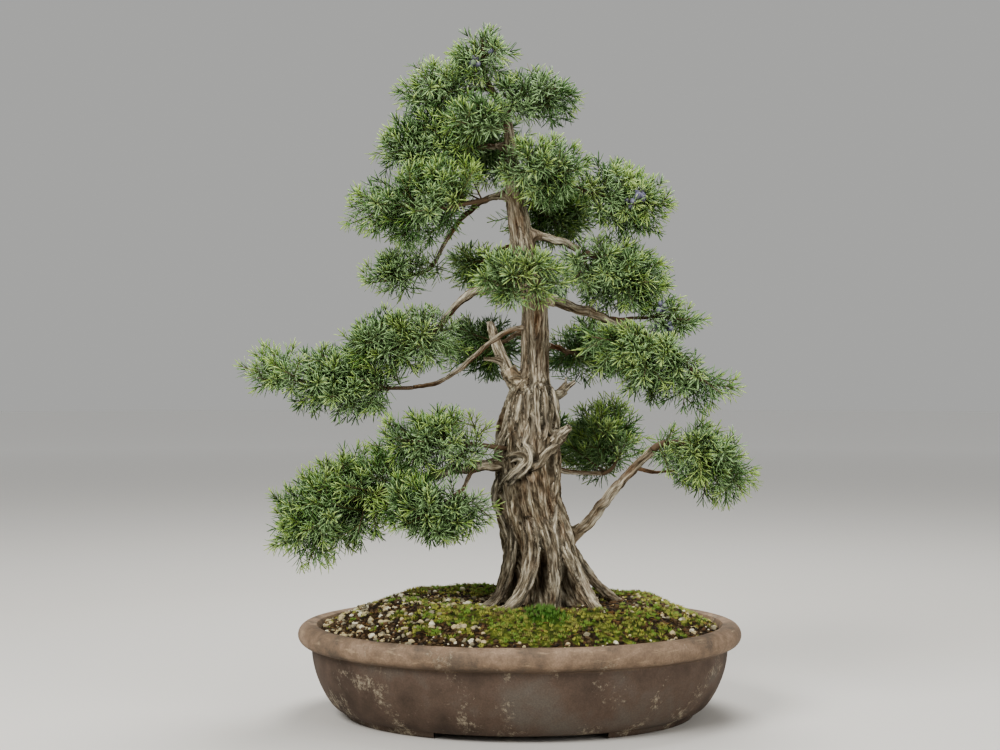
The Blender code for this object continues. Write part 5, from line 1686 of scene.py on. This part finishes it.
def needlesOn(arrays, seed):
    # feet, directions, inner sides, lengths and tints of the needles on all shoots
    look = needleLook
    rng = np.random.default_rng(seed)
    feet, ways, bends, lengths, starts, _, tints = arrays
    phase = rng.uniform(0, 2 * math.pi, len(feet))
    found = []
    whorls = int(np.max((lengths - starts) / look["spacing"])) + 1
    for w in range(whorls + 1):
        distance = lengths - w * look["spacing"]
        has = distance > starts
        if not has.any():
            break
        t = (distance / lengths)[has]
        way = ways[has] + bends[has] * 2 * t[:, None]
        way /= np.linalg.norm(way, axis=1)[:, None]
        place = feet[has] + ways[has] * distance[has][:, None] + bends[has] * (lengths[has] * t * t)[:, None]
        side, up = sideFrames(way)
        # the newest whorls are shorter and lie closer to the shoot
        grown = min(1, w / look["youngWhorls"])
        lean = math.radians(look["lean"][1] + (look["lean"][0] - look["lean"][1]) * grown)
        size = look["length"] * (look["young"] + (1 - look["young"]) * grown)
        each = look["each"] + 2 * (w == 0)
        for k in range(each):
            turn = phase[has] + w * math.pi / 3 + k * 2 * math.pi / each + rng.normal(0, look["turned"], has.sum())
            out = side * np.cos(turn)[:, None] + up * np.sin(turn)[:, None]
            tilt = lean + rng.normal(0, look["jitter"], has.sum())
            along = way * np.cos(tilt)[:, None] + out * np.sin(tilt)[:, None]
            inner = way * np.sin(tilt)[:, None] - out * np.cos(tilt)[:, None]
            length = size * rng.uniform(*look["uneven"], has.sum())
            fresh = np.where((w < 1 + (k == 0)) & (tints[has] != 0), 3, tints[has])
            found.append((place, along, inner, length, fresh))
    return [np.concatenate([f[k] for f in found]) for k in range(5)]


def keptNeedles(needles, space, spaces, limbs):
    # leaves out needles that would leave their pad's space or run into wood
    place, along, _, length, _ = needles
    tips = place + along * length[:, None]
    depth = padDepths(space, tips)
    keep = depth < needleLook["reach"]
    for other in spaces:
        if other is not space:
            keep &= padDepths(other, tips) > np.minimum(depth, growth["neighbourLimit"])
    for path, radii in limbs:
        low = path.min(axis=0) - radii.max()
        high = path.max(axis=0) + radii.max()
        near = np.where(((tips > low) & (tips < high)).all(axis=1))[0]
        if len(near):
            away, index = nearestOn(tips[near], path)
            keep[near[away < radii[index] * 1.02 + needleLook["woodGap"]]] = False
    return [part[keep] for part in needles]


def needleMesh(name, needles, finishes):
    # each needle is a closed, slightly keeled blade: a narrow foot, a wide shoulder and a sharp tip
    look = needleLook
    place, along, inner, length, tint = needles
    wide = np.cross(along, inner) * (look["width"] / 2)
    shoulder = place + along * (length * look["shoulder"])[:, None] + inner * look["fold"]
    keel = place + along * (length * look["keel"])[:, None] - inner * look["fold"]
    corners = np.stack((place - wide * look["foot"], place + wide * look["foot"], shoulder - wide,
                        shoulder + wide, place + along * length[:, None], keel), 1)
    shape = ((0, 1, 3), (0, 3, 2), (2, 3, 4), (5, 1, 0), (5, 3, 1), (5, 4, 3), (5, 2, 4), (5, 0, 2))
    obj = meshFrom(name, corners.reshape(-1, 3), repeated(shape, len(place), 6))
    dress(obj, *finishes)
    band = 4 + (tint == 3)
    slots = np.stack((band,) * 3 + (tint,) * 5, 1)
    obj.data.polygons.foreach_set("material_index", slots.ravel().astype(np.int32))
    obj.data.update()
    return obj


def shootTwigs(arrays):
    # the woody and green axes of all shoots, as slim three-sided tubes
    feet, ways, bends, lengths, _, thick, _ = arrays
    side, up = sideFrames(ways)
    rings = 4
    shares = np.linspace(0, 1, rings)
    places = []
    for t in shares:
        middle = feet + ways * (lengths * t)[:, None] + bends * (lengths * t * t)[:, None]
        wide = thick * mm * (1 - 0.6 * t)
        for k in range(3):
            angle = 2 * math.pi * k / 3
            places.append(middle + (side * math.cos(angle) + up * math.sin(angle)) * wide[:, None])
    places = np.stack(places, 1)
    faces = [(0, 2, 1)]
    for i in range(rings - 1):
        for k in range(3):
            after = (k + 1) % 3
            low, high = i * 3, (i + 1) * 3
            faces += [(low + k, low + after, high + after), (low + k, high + after, high + k)]
    top = (rings - 1) * 3
    faces.append((top, top + 1, top + 2))
    return places.reshape(-1, 3), repeated(faces, len(feet), rings * 3)


def stemArrays(stem, radius):
    fine = refine(stem, 2.5 * mm)
    return tubeArrays(fine, np.linspace(radius, growth["stemTip"], len(fine)), 9)


def makeFoliage(paths):
    finishes = newFinishes(needleLook["colours"], needleLook["roughness"], needleLook["specular"])
    # young wood: thin brown bark on the twigs, green-brown on this year's shoots
    twigFinish = newFinish("brownTwig", "#63503d", 0.8)[0]
    shootFinish = newFinish("greenBrownShoot", "#6d6a3c", 0.7)[0]
    spaces = {name: spaceOf(spec) for name, spec in padForm.items()}
    numbers = {name: i for i, name in enumerate(padForm)}
    limbs = []
    for name, spec in limbForm.items():
        fine = refine(paths[name], 4 * mm)
        limbs.append((fine, np.linspace(spec["radius"][0], spec["radius"][1], len(fine)) * mm))
    heights = np.arange(116, 651, 3) * mm
    rings = [trunkAt(z) for z in heights]
    limbs.append((np.array([tuple(m) for m, r in rings]), np.array([r for m, r in rings])))
    total = 0
    fruits = []
    for group, pads in padGroups.items():
        names = ["foliage_" + pad for pad in pads]
        needles, twigs = [], []
        for name in names:
            space, stem, radius, shoots = growPad(numbers[name], name, paths)
            arrays = shootArrays(shoots)
            grown = needlesOn(arrays, needleLook["seed"] + numbers[name])
            others = [spaces[other] for other in padForm if other != name]
            needles.append(keptNeedles(grown, space, others, limbs))
            part = stemArrays(stem, radius)
            twigs.append((part, np.zeros(len(part[1]), dtype=int)))
            part = shootTwigs(arrays)
            # the necks of long shoots are wood already
            woody = arrays[5] > shootLook["thick"][1]
            twigs.append((part, np.repeat(np.where(woody, 0, 1), len(part[1]) // len(woody))))
            fruits += fruitSpots(name, shoots)
        joined = [np.concatenate([part[k] for part in needles]) for k in range(5)]
        total += len(joined[0])
        finishPiece(needleMesh("needles" + group, joined, finishes), "foliage", *names)
        wood = meshFrom("twigs" + group, *joinArrays([part for part, slot in twigs]))
        dress(wood, twigFinish, shootFinish)
        dealFinishes(wood, 1, np.concatenate([slot for part, slot in twigs]))
        finishPiece(wood, "foliage", *names)
    print("needles in all:", total)
    makeBerries(fruits)


# Berries: blue-black under a pale waxy bloom, some still green, a few to a shoot and a stalk's length off it
fruitLook = dict(
    shootLeast=22 * mm, perShoot=4, rowFrom=0.45, rowLength=0.4, stalk=3.9 * mm, forward=0.9, radius=(2.7, 3.5),
    seed=4, shapeSeed=5, uneven=0.05, roughness=0.55, bloom="#a9a8b4", bloomNoise=(3, 3, 0.5),
    bloomed=(0.45, 0.75, 0, 0.7), shares=(0.55, 0.25, 0.2),
    colours=(("bloomedBerry", "#65637a"), ("darkBerry", "#3d3a4c"), ("greenBerry", "#6c8060")),
)


def fruitSpots(name, shoots):
    # berries sit in loose rows on the shoots that reach furthest to the front
    count = padForm[name].get("fruit", 0)
    long = [shoot for shoot in shoots if shoot[3] > fruitLook["shootLeast"]]
    long.sort(key=lambda shoot: shoot[0].y + shoot[1].y * shoot[3])
    spots = []
    for i in range(count):
        foot, way, bend, length = long[i // fruitLook["perShoot"]][:4]
        t = fruitLook["rowFrom"] + fruitLook["rowLength"] * (i % fruitLook["perShoot"]) / fruitLook["perShoot"]
        out = (aside(way, i * goldenTurn) + Vector((0, -fruitLook["forward"], 0))).normalized()
        spots.append((foot + way * length * t + bend * length * t * t + out * fruitLook["stalk"], name))
    return spots


def makeBerries(fruits):
    look = fruitLook
    finishes = []
    for name, colour in look["colours"]:
        finish, tree, shader = newFinish(name, colour, look["roughness"])
        bloom = addNoise(tree, addNode(tree, "TexCoord", "Object"), *look["bloomNoise"])
        mixed = addMix(tree, addRange(tree, bloom, *look["bloomed"]), colour, look["bloom"])
        tree.links.new(mixed, shader.inputs["Base Color"])
        finishes.append(finish)
    spots = np.array([tuple(place) for place, name in fruits])
    rng = np.random.default_rng(look["seed"])
    sizes = rng.uniform(*look["radius"], len(spots)) * mm
    berries, each = scatterBits("juniperBerries", spots, sizes, 1.0, look["shapeSeed"], 2, look["uneven"])
    dress(berries, *finishes)
    dealFinishes(berries, each, rng.choice(3, len(spots), p=look["shares"]))
    smoothOver(berries)
    finishPiece(berries, "foliage", *sorted({name for place, name in fruits}))


# The studio: the photograph's level view, a plain pale floor and soft light
studio = dict(
    lens=57.6, sensor=36, floorRadius=14, floor="#c9c6c0", floorFar="#fdfcfa", paling=(1, 6), sky="#d9d9d7",
    skyStrength=0.55,
    # each light: where it stands, what it faces, its size in metres and its power in watts
    lights=(
        ("keyLight", (-1.25, -1.5, 1.75), (0, 0, 0.35), 1.3, 56),
        ("fillLight", (1.7, -1.3, 0.9), (0, 0, 0.35), 1.6, 21),
        ("topLight", (0.25, 0.6, 2.1), (0, 0, 0.3), 1.2, 34),
    ),
)


def makeStudio():
    look = studio
    scene = bpy.context.scene
    camera = bpy.data.objects.new("camera", bpy.data.cameras.new("camera"))
    camera.data.lens = look["lens"]
    camera.data.sensor_width = look["sensor"]
    camera.data.clip_start = 0.05
    camera.location = viewPoint + potMiddle
    camera.rotation_euler = (math.radians(90), 0, 0)
    scene.collection.objects.link(camera)
    scene.camera = camera
    deselectAll()
    bpy.ops.mesh.primitive_circle_add(vertices=96, radius=look["floorRadius"], fill_type="NGON")
    floor = bpy.context.object
    floor.name = "floor"
    # the floor is painted paler into the distance, as painted light that makes up for the lamps' light falling off
    # there, so that it meets the sky softly
    finish, tree, shader = newFinish("palePaperFloor", look["floor"], 0.9)
    away = addNode(tree, "VectorMath", "Value", {0: addNode(tree, "TexCoord", "Object")}, operation="LENGTH")
    paled = addMix(tree, addRange(tree, away, *look["paling"]), look["floor"], look["floorFar"])
    tree.links.new(paled, shader.inputs["Base Color"])
    dress(floor, finish)
    for name, place, target, size, power in look["lights"]:
        light = bpy.data.lights.new(name, "AREA")
        light.shape = "DISK"
        light.size = size
        light.energy = power
        lamp = bpy.data.objects.new(name, light)
        lamp.location = place
        lamp.rotation_euler = (Vector(target) - Vector(place)).to_track_quat("-Z", "Y").to_euler()
        scene.collection.objects.link(lamp)
    world = bpy.data.worlds.new("studioSky")
    scene.world = world
    world.use_nodes = True
    sky = world.node_tree.nodes["Background"]
    sky.inputs["Color"].default_value = linear(look["sky"])
    sky.inputs["Strength"].default_value = look["skyStrength"]
    scene.view_settings.view_transform = "AgX"
    scene.view_settings.look = "AgX - Medium High Contrast"


makeStudio()
print("studio ready")
makePot(makeStoneware())
makeGround(makeGroundFinish())
makeGrit()
makeMoss()
routes = limbRoutes()
bark = makeBark("furrowedBark")
makeTrunk(bark, routes)
makeBoughs(bark, routes)
makeStubs(makeBark("bleachedWood"), routes)
makeFoliage(routes)
